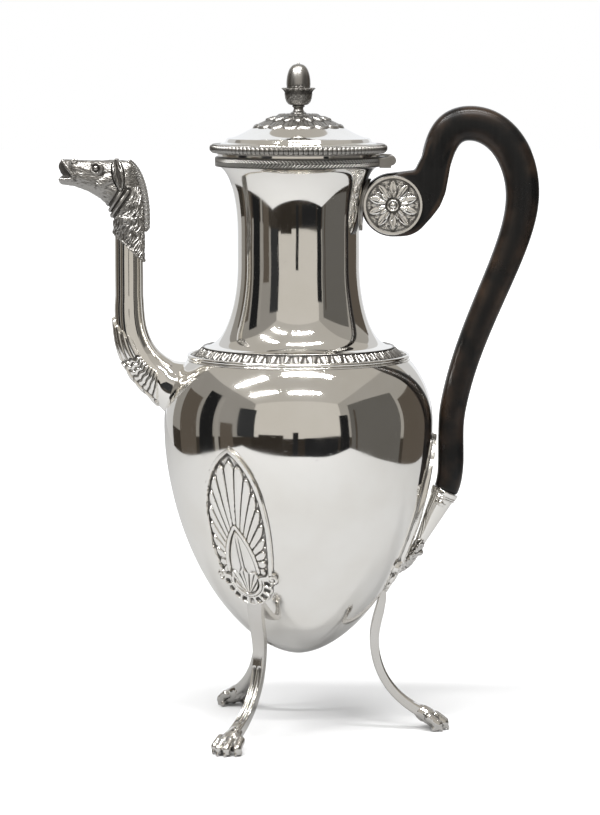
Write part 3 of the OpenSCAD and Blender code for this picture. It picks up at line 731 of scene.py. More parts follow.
def ebonised_wood():
    """Black stained and polished wood, brown where hands have rubbed it."""
    name = "black_stained_wood"
    if name in bpy.data.materials:
        return bpy.data.materials[name]
    finishes = bpy.context.scene.pot_finishes
    material, tree, shader = new_material(name)
    streaks = add_noise(tree, 1, stretch=(900, 900, 26), turn_by=(0, 0.12, 0), detail=5)
    grain = add_range(tree, streaks, 0.42, 0.78)
    pores = add_range(tree, add_noise(tree, 1, stretch=(3800, 3800, 170), detail=2), 0.60, 0.70)
    hollows = add_group(tree, hollow_marks(), Amount=1.0)
    patches = add_range(tree, add_noise(tree, 60, detail=6), 0.40, 0.66)
    rubbed = add_math(tree, "MULTIPLY", hollows.outputs["Edge"], patches)
    stained = add_mix(tree, grain, finishes.wood, finishes.wood_grain)
    tree.links.new(add_mix(tree, rubbed, stained, finishes.worn_wood), shader.inputs["Base Color"])
    handled = add_range(tree, add_noise(tree, 70, detail=4), 0.3, 0.7, 0.24, 0.36)
    rough = add_math(tree, "ADD", handled, add_math(tree, "MULTIPLY", pores, 0.15))
    tree.links.new(rough, shader.inputs["Roughness"])
    shader.inputs["Specular IOR Level"].default_value = 0.28
    shader.inputs["Coat Roughness"].default_value = 0.22
    shader.inputs["Coat Weight"].default_value = 0.08
    dents = add_math(tree, "ADD", add_math(tree, "MULTIPLY", pores, -0.5), add_noise(tree, 330, detail=3))
    add_bump(tree, shader, dents, strength=0.16, distance=0.0001)
    return material


# Bowl, neck and bands

def make_bowl(pot):
    """Egg-shaped bowl, a shell of raised sheet."""
    outer = pot.bowl_outline()
    inner = offset_outline(outer, -pot.silver_gauge)
    inner[-1] = (inner[-1][0], pot.seam_height)
    bm = turn(outer + inner[::-1], steps=192)
    return planished(bm, depth=0.07, size=15)


def make_neck(pot):
    """Waisted neck on its soldered flange."""
    outer = pot.neck_outline()
    inner = offset_outline(outer, -pot.silver_gauge)[1:]
    inner[-1] = (inner[-1][0], pot.lip_height)
    nose_r = pot.silver_gauge / 2
    middle = (pot.seam_radius - nose_r, pot.seam_height + nose_r)
    nose = arc(middle, nose_r, -math.pi / 2, math.pi / 2, 8)
    profile = [(pot.foot_r - 1.6, pot.seam_height)] + nose + outer + inner[::-1]
    return planished(turn(profile, steps=192, closed=True), depth=0.05, size=13)


def make_wire(pot):
    """Half-round wire on the shoulder."""
    r = 0.9
    ring = arc((pot.seam_radius - r, pot.cone_z + r + 0.05), r, 0, FULL_TURN, 16)
    return turn(ring[:-1], steps=192, closed=True)


def shoulder_leaf(units):
    """Relief of the shoulder band: leaves that hang point down, with darts between them."""
    def relief(angle, s):
        fillet = 0.55 * max(dome(s - 0.055, 0.055), dome(s - 0.945, 0.055))
        t = (s - 0.15) / 0.70
        if not 0 < t < 1:
            return fillet
        x = cell(angle / FULL_TURN * units)
        leaf_w = 0.40 * math.sqrt(t) * ease(1.02, 0.86, t) + 0.01
        leaf = 0.6 * dome(x, leaf_w) * ease(0.0, 0.12, t) - 0.30 * dome(x, 0.05) * ease(0.1, 0.3, t)
        dart_w = 0.10 * ease(1.0, 0.55, t) + 0.02
        dart = 0.42 * dome(0.5 - abs(x), dart_w)
        return max(0.0, leaf, dart)
    return relief


def make_shoulder_band(pot):
    """Leaf band on the cone at the foot of the neck."""
    foot, top = Vector((pot.foot_r, pot.cone_z)), Vector((pot.flare_r, pot.flare_z))
    out = Vector((top.y - foot.y, foot.x - top.x)).normalized()
    face = [tuple(point + out * 0.25) for point in (foot + out * 0.05, top)]
    back = [tuple(top + out * 0.05), tuple(foot + out * 0.05)]
    bm = turn(straight(face[0], face[1], 26) + back, steps=pot.shoulder_leaves * 14, closed=True)
    return chase(bm, face[0], face[1], shoulder_leaf(pot.shoulder_leaves))


def rim_leaf(units):
    """Relief of the rim band: two rows of leaves that lean together in a herringbone."""
    def relief(angle, s):
        fillet = 0.45 * max(dome(s - 0.05, 0.05), dome(s - 0.95, 0.05))
        t = (s - 0.12) / 0.76
        if not 0 < t < 1:
            return fillet
        lean = 1.1 * abs(2 * t - 1)
        x = cell(angle / FULL_TURN * units + lean)
        return 0.45 * dome(x, 0.40) * ease(0.0, 0.08, abs(2 * t - 1))
    return relief


def make_rim_band(pot):
    """Band of laurel round the mouth."""
    inside = pot.mouth_radius - 1.1
    face_r = pot.mouth_radius + 0.45
    low, high = (face_r, pot.lip_height + 0.05), (face_r, pot.rim_height - 0.05)
    profile = [(inside, pot.lip_height)] + straight(low, high, 30) + [(inside, pot.rim_height)]
    bm = turn(profile, steps=pot.rim_leaves * 7, closed=True)
    return chase(bm, low, high, rim_leaf(pot.rim_leaves))


# Lid and finial

def make_lid_dome(pot):
    """Stepped lid with a low dome."""
    border_z = pot.lid_z + 1.4
    step_r = pot.mouth_radius - 1.5
    step_z = border_z + 4.5
    curve = [pot.dome_r + (pot.cup_foot_r - pot.dome_r) * i / 40 for i in range(41)]
    steps = [(pot.mouth_radius, border_z), (step_r, border_z), (step_r, step_z - 0.2),
             (pot.dome_r + 2.4, step_z + 0.2), (pot.dome_r + 1.2, pot.dome_z)]
    outer = soften([(pot.mouth_radius, pot.lid_z)] + steps + [(r, pot.dome_height(r)) for r in curve], 0.5)
    inside = [(r, pot.dome_height(r) - pot.silver_gauge) for r in curve[::-1]]
    wall_r = step_r - 1
    under = [(pot.dome_r, step_z - 1), (wall_r, step_z - 1), (wall_r, border_z), (wall_r, pot.lid_z)]
    stem_hole = 1.55
    hole = [(stem_hole, pot.dome_top_z), (stem_hole, pot.dome_top_z - pot.silver_gauge)]
    return turn(outer + hole + inside + under, steps=192, closed=True)


def border_leaf(units):
    """Relief of the lid's border: a row of small veined leaves between a plain edge and a row of beads."""
    def relief(angle, s):
        turn_share = angle / FULL_TURN * units
        if s > 0.80:
            x = cell(turn_share * 2)
            return 0.38 * dome(math.hypot(x * 0.95, (s - 0.89) * 5.2), 0.46)
        t = (s - 0.06) / 0.70
        if not 0 < t < 1:
            return 0.30 * dome(s - 0.02, 0.05)
        x = cell(turn_share)
        width = 0.46 * math.sqrt(mound(t - 0.52, 0.56)) + 0.01
        vein = 0.22 * dome(x, 0.07) * ease(0.05, 0.3, t)
        return max(0.0, 0.55 * dome(x, width) * (0.75 + 0.25 * t) - vein)
    return relief


def make_lid_border(pot):
    """Overhanging border of the lid, with leaves round its rounded edge."""
    inside = pot.mouth_radius - 1.45
    z = pot.lid_z + 1.45
    nose_r = 1.8
    middle = Vector((pot.mouth_radius + 2.85 - nose_r, z + 2.0))
    span = math.radians(78)
    nose = arc(middle, nose_r, -span, span, 32)
    profile = [(inside, z), (pot.mouth_radius, z)] + nose + [(inside, z + 4.0)]
    bm = turn(profile, steps=pot.border_leaves * 8, closed=True)
    relief = border_leaf(pot.border_leaves)
    for vert in bm.verts:
        r, angle = polar(vert)
        spot = Vector((r, vert.co.z))
        out = spot - middle
        if out.x > 0.1 and abs(out.length - nose_r) < 0.01:
            spot += out.normalized() * relief(angle, (math.atan2(out.y, out.x) / span + 1) / 2)
            put_round(vert, spot.x, angle, spot.y)
    return bm


def calyx_height(lobes, angle, q):
    """Relief of the leaf plate: scalloped lobes, a second tier over them and a ring of beads."""
    outer = cell(angle / FULL_TURN * lobes)
    inner = cell(angle / FULL_TURN * lobes + 0.5)
    edge = ease(1.0, 0.97, q)
    vein = 0.10 * math.cos(outer * FULL_TURN * 4) * ease(0.98, 0.8, q)
    split = 0.35 * dome(0.5 - abs(outer), 0.07) * ease(0.6, 0.75, q)
    lobe = (0.42 + vein + 0.42 * dome(q - 0.95, 0.055) - split) * edge
    tier = 0.66 - 0.17 * (2 * abs(inner)) ** 1.7
    if q < tier:
        rim = 0.30 * dome(tier - q - 0.035, 0.045)
        pearl = 0.42 * dome(math.hypot(inner * 3.2, (q - 0.47) * 9), 0.62)
        vein = 0.10 * dome(inner, 0.05)
        lobe = max(lobe, (0.86 + rim + pearl - vein) * ease(0.0, 0.03, tier - q))
    if 0.05 < q <= 0.12:
        return 1.2
    if 0.12 < q < 0.33:
        bead = cell(angle / FULL_TURN * lobes * 1.5)
        return max(0.62, 1.0 + 0.5 * dome(math.hypot(bead * 0.9, (q - 0.24) * 7), 0.48))
    return lobe


def make_calyx(pot):
    """Scalloped leaf plate under the finial."""
    hole = pot.cup_foot_r + 0.05
    edge = 21.3
    rows = 56
    marks = [hole + (edge - hole) * (i / rows) for i in range(rows + 1)]
    sheet = [(r, 1) for r in marks] + [(r, 0) for r in marks[::-1]]
    bm = turn(sheet, steps=pot.calyx_lobes * 24, closed=True)
    for vert in bm.verts:
        r, angle = polar(vert)
        q = (r - hole) / (edge - hole)
        lobe = cell(angle / FULL_TURN * pot.calyx_lobes)
        r = hole + q * (edge - hole - 1.6 * (2 * abs(lobe)) ** 2.4 * ease(0.55, 1.0, q))
        raised = calyx_height(pot.calyx_lobes, angle, q) if vert.co.z > 0.5 else 0
        put_round(vert, r, angle, pot.dome_height(r) + 0.05 + raised)
    return welded(bm)


def make_cup(pot):
    """Moulded stem and scaly acorn cup with a leafy lip."""
    foot = pot.dome_top_z + 0.05
    z = foot + 1.55
    scales, scale_low, scale_high, scale_rise = 16, 3.6, 8.7, 0.85
    stem = [(1.5, foot - 6), (1.5, foot), (4.4, foot), (4.4, foot + 0.9), (3.7, foot + 1.1), (3.7, z),
            (2.7, z + 0.5), (2.2, z + 1.5), (2.2, z + 2.4), (2.9, z + 2.7), (2.9, z + 3.2), (2.5, z + 3.4)]
    bowl = [(2.5 + 3.7 * math.sin(a) ** 0.8, z + 3.4 + 5.2 * (1 - math.cos(a)))
            for a in (math.pi / 2 * i / 22 for i in range(1, 23))]
    lip = [(6.3, z + 9.2), (6.9, z + 10.1), (7.7, z + 10.8), (8.0, z + 11.0), (7.5, z + 11.35),
           (6.6, z + 11.0), (5.6, z + 10.4), (0, z + 10.4)]
    bm = turn([(0, foot - 6)] + soften(stem, 0.35) + bowl + lip, steps=scales * 12)
    for vert in bm.verts:
        r, angle = polar(vert)
        height = vert.co.z - z
        if scale_low < height < scale_high and r > 2.4:
            row = math.floor((height - scale_low) / scale_rise)
            scale = cell(angle / FULL_TURN * scales + row * 0.5)
            drop = (height - scale_low) / scale_rise - row
            grown = r + 0.28 * dome(math.hypot(scale * 1.6, drop - 0.5), 0.85) - 0.1
        elif height > 9.3 and r > 6.2:
            grown = r * (1 - 0.075 * (2 * abs(cell(angle / FULL_TURN * scales))) ** 2 * ease(6.2, 7.6, r))
        else:
            continue
        vert.co.x *= grown / r
        vert.co.y *= grown / r
    return bm


def make_acorn(pot):
    """Smooth acorn."""
    stem, cup_rise = 1.6, 11.6
    seat = pot.dome_top_z + stem + 0.9 * cup_rise + 0.05
    base = pot.dome_top_z + stem + cup_rise
    nut = [(5.55 * math.cos(a) ** 0.72, base + 1.2 + 9.4 * math.sin(a))
           for a in (math.radians(84) * i / 36 for i in range(37))]
    tip = [(0.55, base + 10.8), (0.3, base + 11.35), (0, base + 11.5)]
    return turn([(0, seat), (4.9, seat), (5.35, base - 0.2)] + nut + tip, steps=96)


# Spout and horse's head

def spout_curves(pot):
    """Middle line of the spout, from inside the bowl to the foot of the head."""
    x = pot.belly_radius + 15.8
    root = pot.belly_z + 21
    bend = root + 34
    top = pot.throat_z
    return [[Vector((-0.8 * pot.belly_radius, root - 7)), Vector((-pot.belly_radius - 4, root + 1)),
             Vector((-x, root + 7)), Vector((-x, bend))],
            [Vector((-x, bend)), Vector((-x, bend + 10)), Vector((-x, top - 10)), Vector((-x, top))]]


def spout_radius_at(pot, t):
    """Radius of the spout at t along its middle line, with a flare where it meets the bowl."""
    r = pot.spout_radius
    return between([12.5, 10, 1.3 * r, 1.1 * r, r, r, r, r], t) + 1.6 * ease(0.16, 0.05, t)


def make_spout(pot):
    """Hollow spout, fitted to the bowl."""
    curves = spout_curves(pot)

    def place(u, v):
        outside = v <= 0.5
        t = 2 * v if outside else 2 - 2 * v
        point, direction = along(curves, t)
        r = spout_radius_at(pot, t) - (0 if outside else pot.silver_gauge)
        return tube_point(point, direction, FULL_TURN * u, r, r)

    core = turn(offset_outline(pot.bowl_outline(40, 16), -0.3) + [(0, pot.seam_height)], steps=128)
    return planished(cut(skin(64, 240, place), core), depth=0.04, size=9)


ACANTHUS_LOBES = 4.5


def acanthus_reach(x):
    """How far up the bend the leaf reaches, at x from -1 to 1 round it: lobes that step down."""
    notch = abs(2 * cell(abs(x) * ACANTHUS_LOBES + 0.5))
    return 0.474 - 0.075 * abs(x) ** 1.2 - 0.020 * notch ** 1.5


def acanthus_root(x):
    """Where the leaf starts, lowest along its middle."""
    return 0.095 + 0.095 * abs(x) ** 1.5


def acanthus_height(x, v):
    """Relief of the leaf: upright tongues above, barbs from a side rib below and broad lobes underneath."""
    x = abs(x)
    tongue = 0.20 + 0.80 * math.sqrt(dome(cell(x * ACANTHUS_LOBES + 0.5), 0.42))
    barb = 0.12 + 0.88 * math.sqrt(dome(cell(1.5 * (x - 0.34) + 12 * v), 0.40)) * ease(0.36, 0.40, x)
    lobe = 0.30 + 0.70 * dome(cell(6 * v - 1.2 * x), 0.46)
    lower = lobe + (barb - lobe) * ease(0.31, 0.35, x)
    height = lower + (tongue - lower) * ease(0.60, 0.64, v)
    groove = max(dome(x - 0.33, 0.028) * ease(0.76, 0.66, v), 0.8 * dome(v - 0.61, 0.022))
    return max(0.04, height - 0.95 * groove)


def make_acanthus(pot):
    """Acanthus leaf wrapped round the outside of the spout's bend."""
    curves = spout_curves(pot)

    def place(x, y, raised):
        v = (y + 1) / 2
        root = acanthus_root(x)
        t = root + (acanthus_reach(x) - root) * v
        point, direction = along(curves, t)
        half_angle = math.radians(104 - 12 * v)
        r = spout_radius_at(pot, t) + 0.03
        if raised:
            edge = ease(1.0, 0.97, abs(x)) * ease(1.0, 0.98, abs(y))
            r += (0.15 + 1.1 * acanthus_height(x, v)) * edge
        return tube_point(point, direction, math.pi + half_angle * x, r, r)

    return without_slivers(plate(170, 150, place))


HEAD_X = -78.0
MOUTH = [(-103.9, 258.3), (-108.9, 265.4), (-113, 271), (-118, 271), (-118, 258.2), (-110.6, 258.0)]
EYE = Vector((-92.8, 262.3))
EAR = (Vector((-81.5, 253.0)), Vector((-83.8, 266.4)))
STRAP = ((Vector((-80.4, 252.8)), Vector((-86.9, 242.6))), (Vector((-78.0, 251.6)), Vector((-86.5, 239.6))))


def head_masses(bm):
    """Main masses of the horse's head."""
    throat = [((HEAD_X, 0, 231.2), 6.6, 1.0), ((HEAD_X, 0, 236), 6.6, 0.98), ((-80.5, 0, 245.4), 6.8, 0.90),
              ((-83.2, 0, 250.2), 7.0, 0.84)]
    jaw = [((-86.3, 0, 253.6), 7.2, 0.80), ((-93.5, 0, 256.7), 6.0, 0.80), ((-102.3, 0, 256.9), 3.1, 1.05),
           ((-108.0, 0, 256.6), 2.1, 1.45)]
    nape = [((HEAD_X, 0, 236), 6.4, 0.98), ((-77.6, 0, 243), 6.4, 0.92), ((-78.3, 0, 250), 6.3, 0.90),
            ((-80.6, 0, 257), 6.2, 0.88), ((-84, 0, 260.2), 5.7, 0.92)]
    nose = [((-93, 0, 260.0), 5.8, 0.88), ((-99, 0, 261.3), 4.6, 0.86), ((-103.4, 0, 262.4), 3.7, 0.98),
            ((-106.8, 0, 262.9), 3.4, 1.05)]
    muzzle = [((-91, 0, 257), 6.6, 0.80), ((-97.5, 0, 258.6), 5.6, 0.80), ((-102.6, 0, 259.6), 4.5, 0.86)]
    poll = [((-86, 0, 261.5), 4.6, 0.9), ((-79.6, 0, 260.6), 5.2, 0.85)]
    for mass in (throat + jaw, nape + nose, muzzle, poll):
        limb(bm, *mass)
    cheek = [((-90, 2.6, 254.8), 4.4, 0.75), ((-87, 3.2, 257), 4.0, 0.75)]
    for side in (-1, 1):
        limb(bm, *on_side(side, cheek))


def on_side(side, stations):
    """Stations of a feature moved to one side of the head."""
    return [((x, side * y, z), *rest) for (x, y, z), *rest in stations]


def head_features(bm):
    """Tongue, eyes, brows, nostrils, lips and ears."""
    limb(bm, ((-101.5, 0, 259.6), 4.0, 0.72), ((-104.0, 0, 260.3), 3.0, 0.95), ((-107.0, 0, 261.3), 2.6, 1.0))
    brow = [((-94.6, 4.4, 264.2), 0.5), ((-92.4, 4.9, 264.7), 0.7), ((-90.3, 5.2, 263.4), 0.75),
            ((-89.9, 5.4, 261.4), 0.6), ((-91.2, 5.4, 259.9), 0.4)]
    nostril = [((-101.4, 3.3, 265.4), 0.5), ((-103.1, 3.9, 265.9), 0.6), ((-104.5, 3.7, 265.2), 0.55),
               ((-104.3, 3.7, 264.2), 0.4)]
    upper_lip = [((-108.3, 2.9, 265.6), 0.8), ((-105.6, 3.6, 262.0), 0.95), ((-103.2, 3.8, 258.9), 0.8),
                 ((-103.4, 3.8, 257.8), 0.6)]
    lower_lip = [((-103.6, 3.5, 257.3), 0.7), ((-106.4, 3.2, 257.0), 0.9), ((-109.2, 2.5, 257.0), 0.95)]
    ear = [((-81.4, 5.4, 252.8), 0.45), ((-81.9, 5.9, 256.4), 1.6, 0.8), ((-82.7, 5.9, 260.2), 1.85, 0.8),
           ((-83.7, 5.2, 266.0), 0.6)]
    for side in (-1, 1):
        ball(bm, (EYE.x, side * 3.9, EYE.y), 1.75)
        for feature in (brow, nostril, upper_lip, lower_lip, ear):
            limb(bm, *on_side(side, feature))


def head_cutters():
    """Corners of the open mouth, pouring bore, nostrils and hollow ears."""
    tool = bmesh.new()
    limb(tool, ((-115, 0, 261.8), 0.6), ((-106, 0, 260.8), 0.6), ((-97, 0, 258.6), 0.6))
    nostril = [((-103.2, 3.9, 264.7), 0.5), ((-102.6, 4.2, 264.6), 0.45)]
    ear = [((-81.6, 6.7, 254.6), 0.35), ((-81.9, 7.0, 257.0), 0.85), ((-82.6, 7.1, 260.4), 1.0),
           ((-83.4, 6.0, 264.2), 0.35)]
    for side in (-1, 1):
        append(tool, prism(MOUTH, side * 1.2, side * 8.2))
        limb(tool, *on_side(side, nostril))
        limb(tool, *on_side(side, ear))
    return fuse(tool, voxel=0.22, rounds=1)


def fur_height(place):
    """Long uneven locks on the hide behind the throat strap."""
    round_axis = 7.0 * abs(math.atan2(place.y, HEAD_X - place.x))
    wave = 0.8 * noise.noise(place / 3.5)
    lengthwise = (place.z + 0.55 * round_axis) / 4.4
    across = (0.85 * round_axis - 0.5 * place.z) / 1.15 + wave
    lock = max(0.0, 1 - 2.4 * abs(noise.noise(Vector((across, lengthwise, 3)))))
    strand = noise.noise(Vector((2.4 * across, 1.4 * lengthwise, 9)))
    return 0.50 * lock ** 1.4 + 0.16 * strand - 0.22


def face_height(place):
    """Eye, lids and short hair of the face."""
    away = math.hypot(place.x - EYE.x, place.z - EYE.y)
    eye = 0.25 * dome(away, 1.1) - 0.50 * dome(away - 1.55, 0.45) + 0.22 * dome(away - 2.2, 0.4)
    short = Vector((place.x / 1.6, place.y / 1.2, (place.z + 0.25 * place.x) / 0.5))
    hair = 0.20 * noise.noise(short) * ease(-107, -103, place.x) * ease(2.2, 3.2, away)
    return hair + (eye if abs(place.y) > 2 else 0)


def from_line(spot, start, end):
    """Distance of a spot from a line, and the share of the line at which it is nearest."""
    run = end - start
    t = clamp((spot - start).dot(run) / run.length_squared)
    return (spot - start - run * t).length, t


def harness_height(place):
    """Cords of the throat strap and the outline of an ear, with grooves beside them."""
    spot = Vector((place.x, place.z))
    away = min(from_line(spot, *cord)[0] for cord in STRAP)
    strap = 0.60 * dome(away, 0.85) - 0.70 * dome(away - 1.3, 0.65)
    away, t = from_line(spot, *EAR)
    edge = away - 2.1 * math.sin(math.pi * clamp(0.04 + 0.92 * t)) ** 0.7
    ear = 0.40 * dome(edge, 0.5) - 0.70 * dome(edge - 1.0, 0.6) - 0.8 * ease(-0.2, -0.9, edge)
    return ear if edge < 0.9 else strap


def hide_height(place):
    """Relief of the head and hide at a place on their surface."""
    behind = 0.84 * (place.x + 78.4) - 0.545 * (place.z - 251)
    region = ease(0.6, 1.8, behind) * ease(258, 253, place.z)
    relief = region * fur_height(place) + (1 - region) * face_height(place)
    harness = harness_height(place) if abs(place.y) > 2.5 or place.z < 246 else 0
    return harness if abs(harness) > 0.02 else relief


def hide_rim(bm, r, low_front, low_back):
    """Rolled edge of the hide round the spout, on a slant from throat to nape."""
    rise = low_front.z - low_back.z
    stations = []
    for i in range(49):
        a = FULL_TURN * i / 48
        front = (1 + math.cos(a)) / 2
        scallop = 0.35 * abs(math.sin(a * 9))
        spot = (HEAD_X - r * math.cos(a), r * math.sin(a), low_back.z + rise * front - scallop)
        stations.append((spot, 0.55))
    limb(bm, *stations)


def make_horse_head(pot):
    """Horse's head with an open mouth, a throat strap and a hide that hangs over the spout."""
    bm = bmesh.new()
    head_masses(bm)
    head_features(bm)
    collar = bmesh.new()
    add_drum(collar, (HEAD_X, 0, 229), 7.1, 7.2, depth=22, segments=64)
    low_front, low_back = Vector((-84.6, 0, 233.0)), Vector((-71.4, 0, 219.8))
    run = (low_back - low_front).normalized()
    append(bm, sliced(collar, low_front, (-run.z, 0, run.x)))
    hide_rim(bm, 7.0, low_front, low_back)
    bm = cut(fuse(bm, voxel=0.30, rounds=2), head_cutters())
    bm = fuse(bm, voxel=0.23, rounds=1)
    socket = bmesh.new()
    bore = pot.spout_radius + 0.04
    add_drum(socket, (HEAD_X, 0, pot.throat_z - 15), bore, bore, depth=30, segments=96)
    bm = cut(bm, socket)
    above = pot.throat_z + 1.5
    sculpt(bm, lambda place, normal: hide_height(place) if place.z > above or radial(place) > 6.75 else 0.0)
    return without_slivers(bm)


def in_mouth(place):
    """Whether a place on the head lies inside the open mouth."""
    behind_lips = MOUTH[0][0] - 0.704 * (place.z - MOUTH[0][1])
    return abs(place.y) < 2.6 and place.z > 258.0 and place.x < behind_lips + 0.2


def radial(place):
    """Distance from the upright line of the spout."""
    return math.hypot(place.x - HEAD_X, place.y)


def make_mane():
    """Roached mane with overlapping locks."""
    curves = [[Vector((-70.3, 232.9)), Vector((-68.9, 250)), Vector((-73.2, 262.9)), Vector((-79.0, 265.0))]]
    locks = 24

    def place(u, v):
        point, direction = along(curves, v)
        angle = FULL_TURN * u
        lock = cell(v * locks - 1.1 * abs(math.sin(angle))) + 0.5
        grown = (0.68 + 0.36 * lock * ease(1.0, 0.80, lock)) * ease(-0.02, 0.04, v) * ease(1.02, 0.94, v)
        return tube_point(point, direction, angle, 1.95 * grown, 1.9 * grown, 2.6)

    return skin(28, 288, place)


# Palmettes, legs and paws

class Palmette:
    """Relief of a palmette plaque, by sideways place and height above its base."""

    half_w = 18.2
    shell_r = 12.4
    rise = 61.6
    heart_up = 4.6
    heart_rise = 20.5
    heart_half_w = 7.0
    rim_w = 2.1
    volute = Vector((12.9, 1.2))
    volute_r = 3.0

    def __init__(self, tongues):
        edge = [Vector((self.shell_r, 0)), Vector((self.half_w * 0.95, self.rise * 0.22)),
                Vector((self.half_w * 1.15, self.rise * 0.80)), Vector((0, self.rise))]
        steps = 160
        self.edge = np.array([bezier(edge, 1 - i / steps) for i in range(steps + 1)])
        arch_r = (self.heart_rise ** 2 + self.heart_half_w ** 2) / (2 * self.heart_half_w)
        arch_turn = math.asin(self.heart_rise / arch_r)
        turns = np.linspace(arch_turn, 0, steps + 1)
        across = arch_r * np.cos(turns) - (arch_r - self.heart_half_w)
        self.heart = np.stack([across, self.heart_up + arch_r * np.sin(turns)], axis=1)
        self.rays = self.edge - self.heart
        self.tongues = tongues + 0.5
        self.pitch = np.linalg.norm(np.diff(self.edge, axis=0), axis=1).sum() / self.tongues

    def half_width(self, up):
        """Half width of the plaque at a height."""
        if up < 0:
            width = math.sqrt(max(0, self.shell_r ** 2 - up ** 2))
        else:
            width = float(np.interp(up, self.edge[::-1, 1], self.edge[::-1, 0]))
        bulge = self.volute_r ** 2 - (up - self.volute.y) ** 2
        return max(width, self.volute.x + math.sqrt(bulge)) if bulge > 0 else width

    def height(self, across, up):
        """Relief at a place."""
        across = abs(across)
        low = self.shell(across, up)
        return low if up < self.heart_up - 1.5 else max(low if up < 6 else 0, self.fan(across, up))

    def fan(self, across, up):
        """Raised rim, tongues that spread from the pointed leaf, buds between them and the leaf itself."""
        spot = np.array([across, up])
        inset = float(np.linalg.norm(self.edge - spot, axis=1).min())
        inside = float(np.linalg.norm(self.heart - spot, axis=1).min())
        offset = spot - self.heart
        side = self.rays[:, 0] * offset[:, 1] - self.rays[:, 1] * offset[:, 0]
        ray = int(np.argmin(np.abs(side) / np.linalg.norm(self.rays, axis=1)))
        step = ray / (len(side) - 1) * self.tongues
        x = step - round(step)
        in_heart = self.in_heart(across, up)
        rim = 1.7 * ease(0.0, 0.25, inset) * ease(self.rim_w, self.rim_w - 0.3, inset)
        inner_side = in_heart and inside >= 0.3
        heart_rim = 1.6 * (ease(0.55, 0.3, inside) if inner_side else ease(1.25, 1.0, inside))
        if in_heart:
            rise = clamp((up - self.heart_up) / self.heart_rise)
            petal = clamp(across / max(0.6, 0.95 * self.heart_half_w * (1 - rise ** 1.7)))
            leaf = 0.45 + 0.85 * math.sin(math.pi * petal) ** 0.7 + 0.9 * dome(across, 0.55)
            return max(heart_rim, leaf if inside > 0.9 else 0.15)
        end = 3.0 + 1.9 * (2 * x) ** 2 + 1.8 * ease(1.2, 0.0, step)
        tongue = 1.4 * dome(x, 0.445) ** 0.35 * ease(end - 0.6, end + 0.3, inset) * ease(1.2, 1.6, inside)
        bud = 0.7 * dome(math.hypot((0.5 - abs(x)) * self.pitch, inset - 3.1), 0.7)
        return max(0.18, rim, heart_rim, tongue, bud)

    def in_heart(self, across, up):
        """Whether a place lies inside the pointed leaf."""
        if not self.heart_up <= up <= self.heart_up + self.heart_rise:
            return up < self.heart_up and across < self.heart_half_w
        return across < float(np.interp(up, self.heart[::-1, 1], self.heart[::-1, 0]))

    def shell(self, across, up):
        """Fluted shell, the crescent in it, small leaves and a volute at each side."""
        r = math.hypot(across, up)
        down = math.degrees(math.atan2(across, -up))
        lobe = cell(down / 21 + 0.5)
        edge = self.shell_r - 0.7 * (2 * abs(lobe)) ** 2
        flute = 1.4 * ease(0.36, 0.24, abs(lobe)) * ease(8.5, 9.1, r) * ease(11.5, 11.0, r)
        ribs = (1.5 - flute) * ease(edge + 0.02, edge - 0.4, r) * ease(7.6, 8.0, r) * ease(103, 96, down)
        crescent = 1.9 * dome(r - 7.0, 0.95) * ease(115, 100, down)
        sprig_up = up + 7.0
        frond = cell(math.degrees(math.atan2(across, sprig_up)) / 26 + 0.5)
        tip = 13.2 - 3.0 * (2 * abs(frond)) ** 2
        leaf = 0.75 + 1.2 * dome(frond, 0.47) - 0.55 * dome(frond, 0.10)
        leaf *= ease(tip, tip - 0.8, math.hypot(across, sprig_up))
        leaf *= ease(6.1, 5.6, r) if up < 1 else ease(7.5, 6.5, across)
        curl = math.hypot(across - self.volute.x, up - self.volute.y)
        spiral = cell(curl / 1.5 + math.atan2(up - self.volute.y, across - self.volute.x) / FULL_TURN)
        volute = 0
        if curl < self.volute_r:
            volute = 0.8 + 1.2 * dome(curl, self.volute_r) - 0.9 * dome(spiral, 0.2) * ease(0.3, 0.6, curl)
        arm = 1.5 * dome(up - 0.9 - 0.12 * (across - 6), 1.6)
        arm *= ease(5.5, 7.0, across)
        arm *= ease(13.2, 12, across)
        return max(0.18, ribs, crescent, leaf if up > -6.2 else 0, volute, arm)


def make_palmette(pot):
    """Palmette plaque on the bowl above a leg, at angle 0."""
    plaque = Palmette(pot.palmette_tongues)
    base = 78.0
    skirt = 0.5
    low, high = -plaque.shell_r - skirt, plaque.rise + skirt

    def place(x, y, raised):
        up = low + (high - low) * (y + 1) / 2
        half_w = plaque.half_width(clamp(up, low + 0.001, high - 0.001))
        across = x * (half_w + skirt)
        height = 0.04
        if raised:
            height += 0.22 * ease(1.0, 0.98, abs(x)) * ease(1.0, 0.993, abs(y))
            inset = min(half_w - abs(across), up - low - skirt, high - skirt - up)
            height += plaque.height(across, up) * ease(0.0, 0.3, inset)
        return pot.on_bowl(across, base + up, height)

    return without_slivers(plate(140, 250, place))


CUFF = Vector((56.8, 8.8))


def leg_curves(pot):
    """Middle line of a leg, from under the shell to the cuff of the paw."""
    low_z = 65.6
    top = Vector((pot.bowl_radius(low_z), low_z))
    waist = Vector((top.x - 3.7, pot.bowl_bottom + 7))
    return [[top + Vector((0.5, 3)), top + Vector((0.2, -7)), waist + Vector((0, 8)), waist],
            [waist, waist - Vector((0, 16)), CUFF + Vector((-13, 7)), CUFF]]


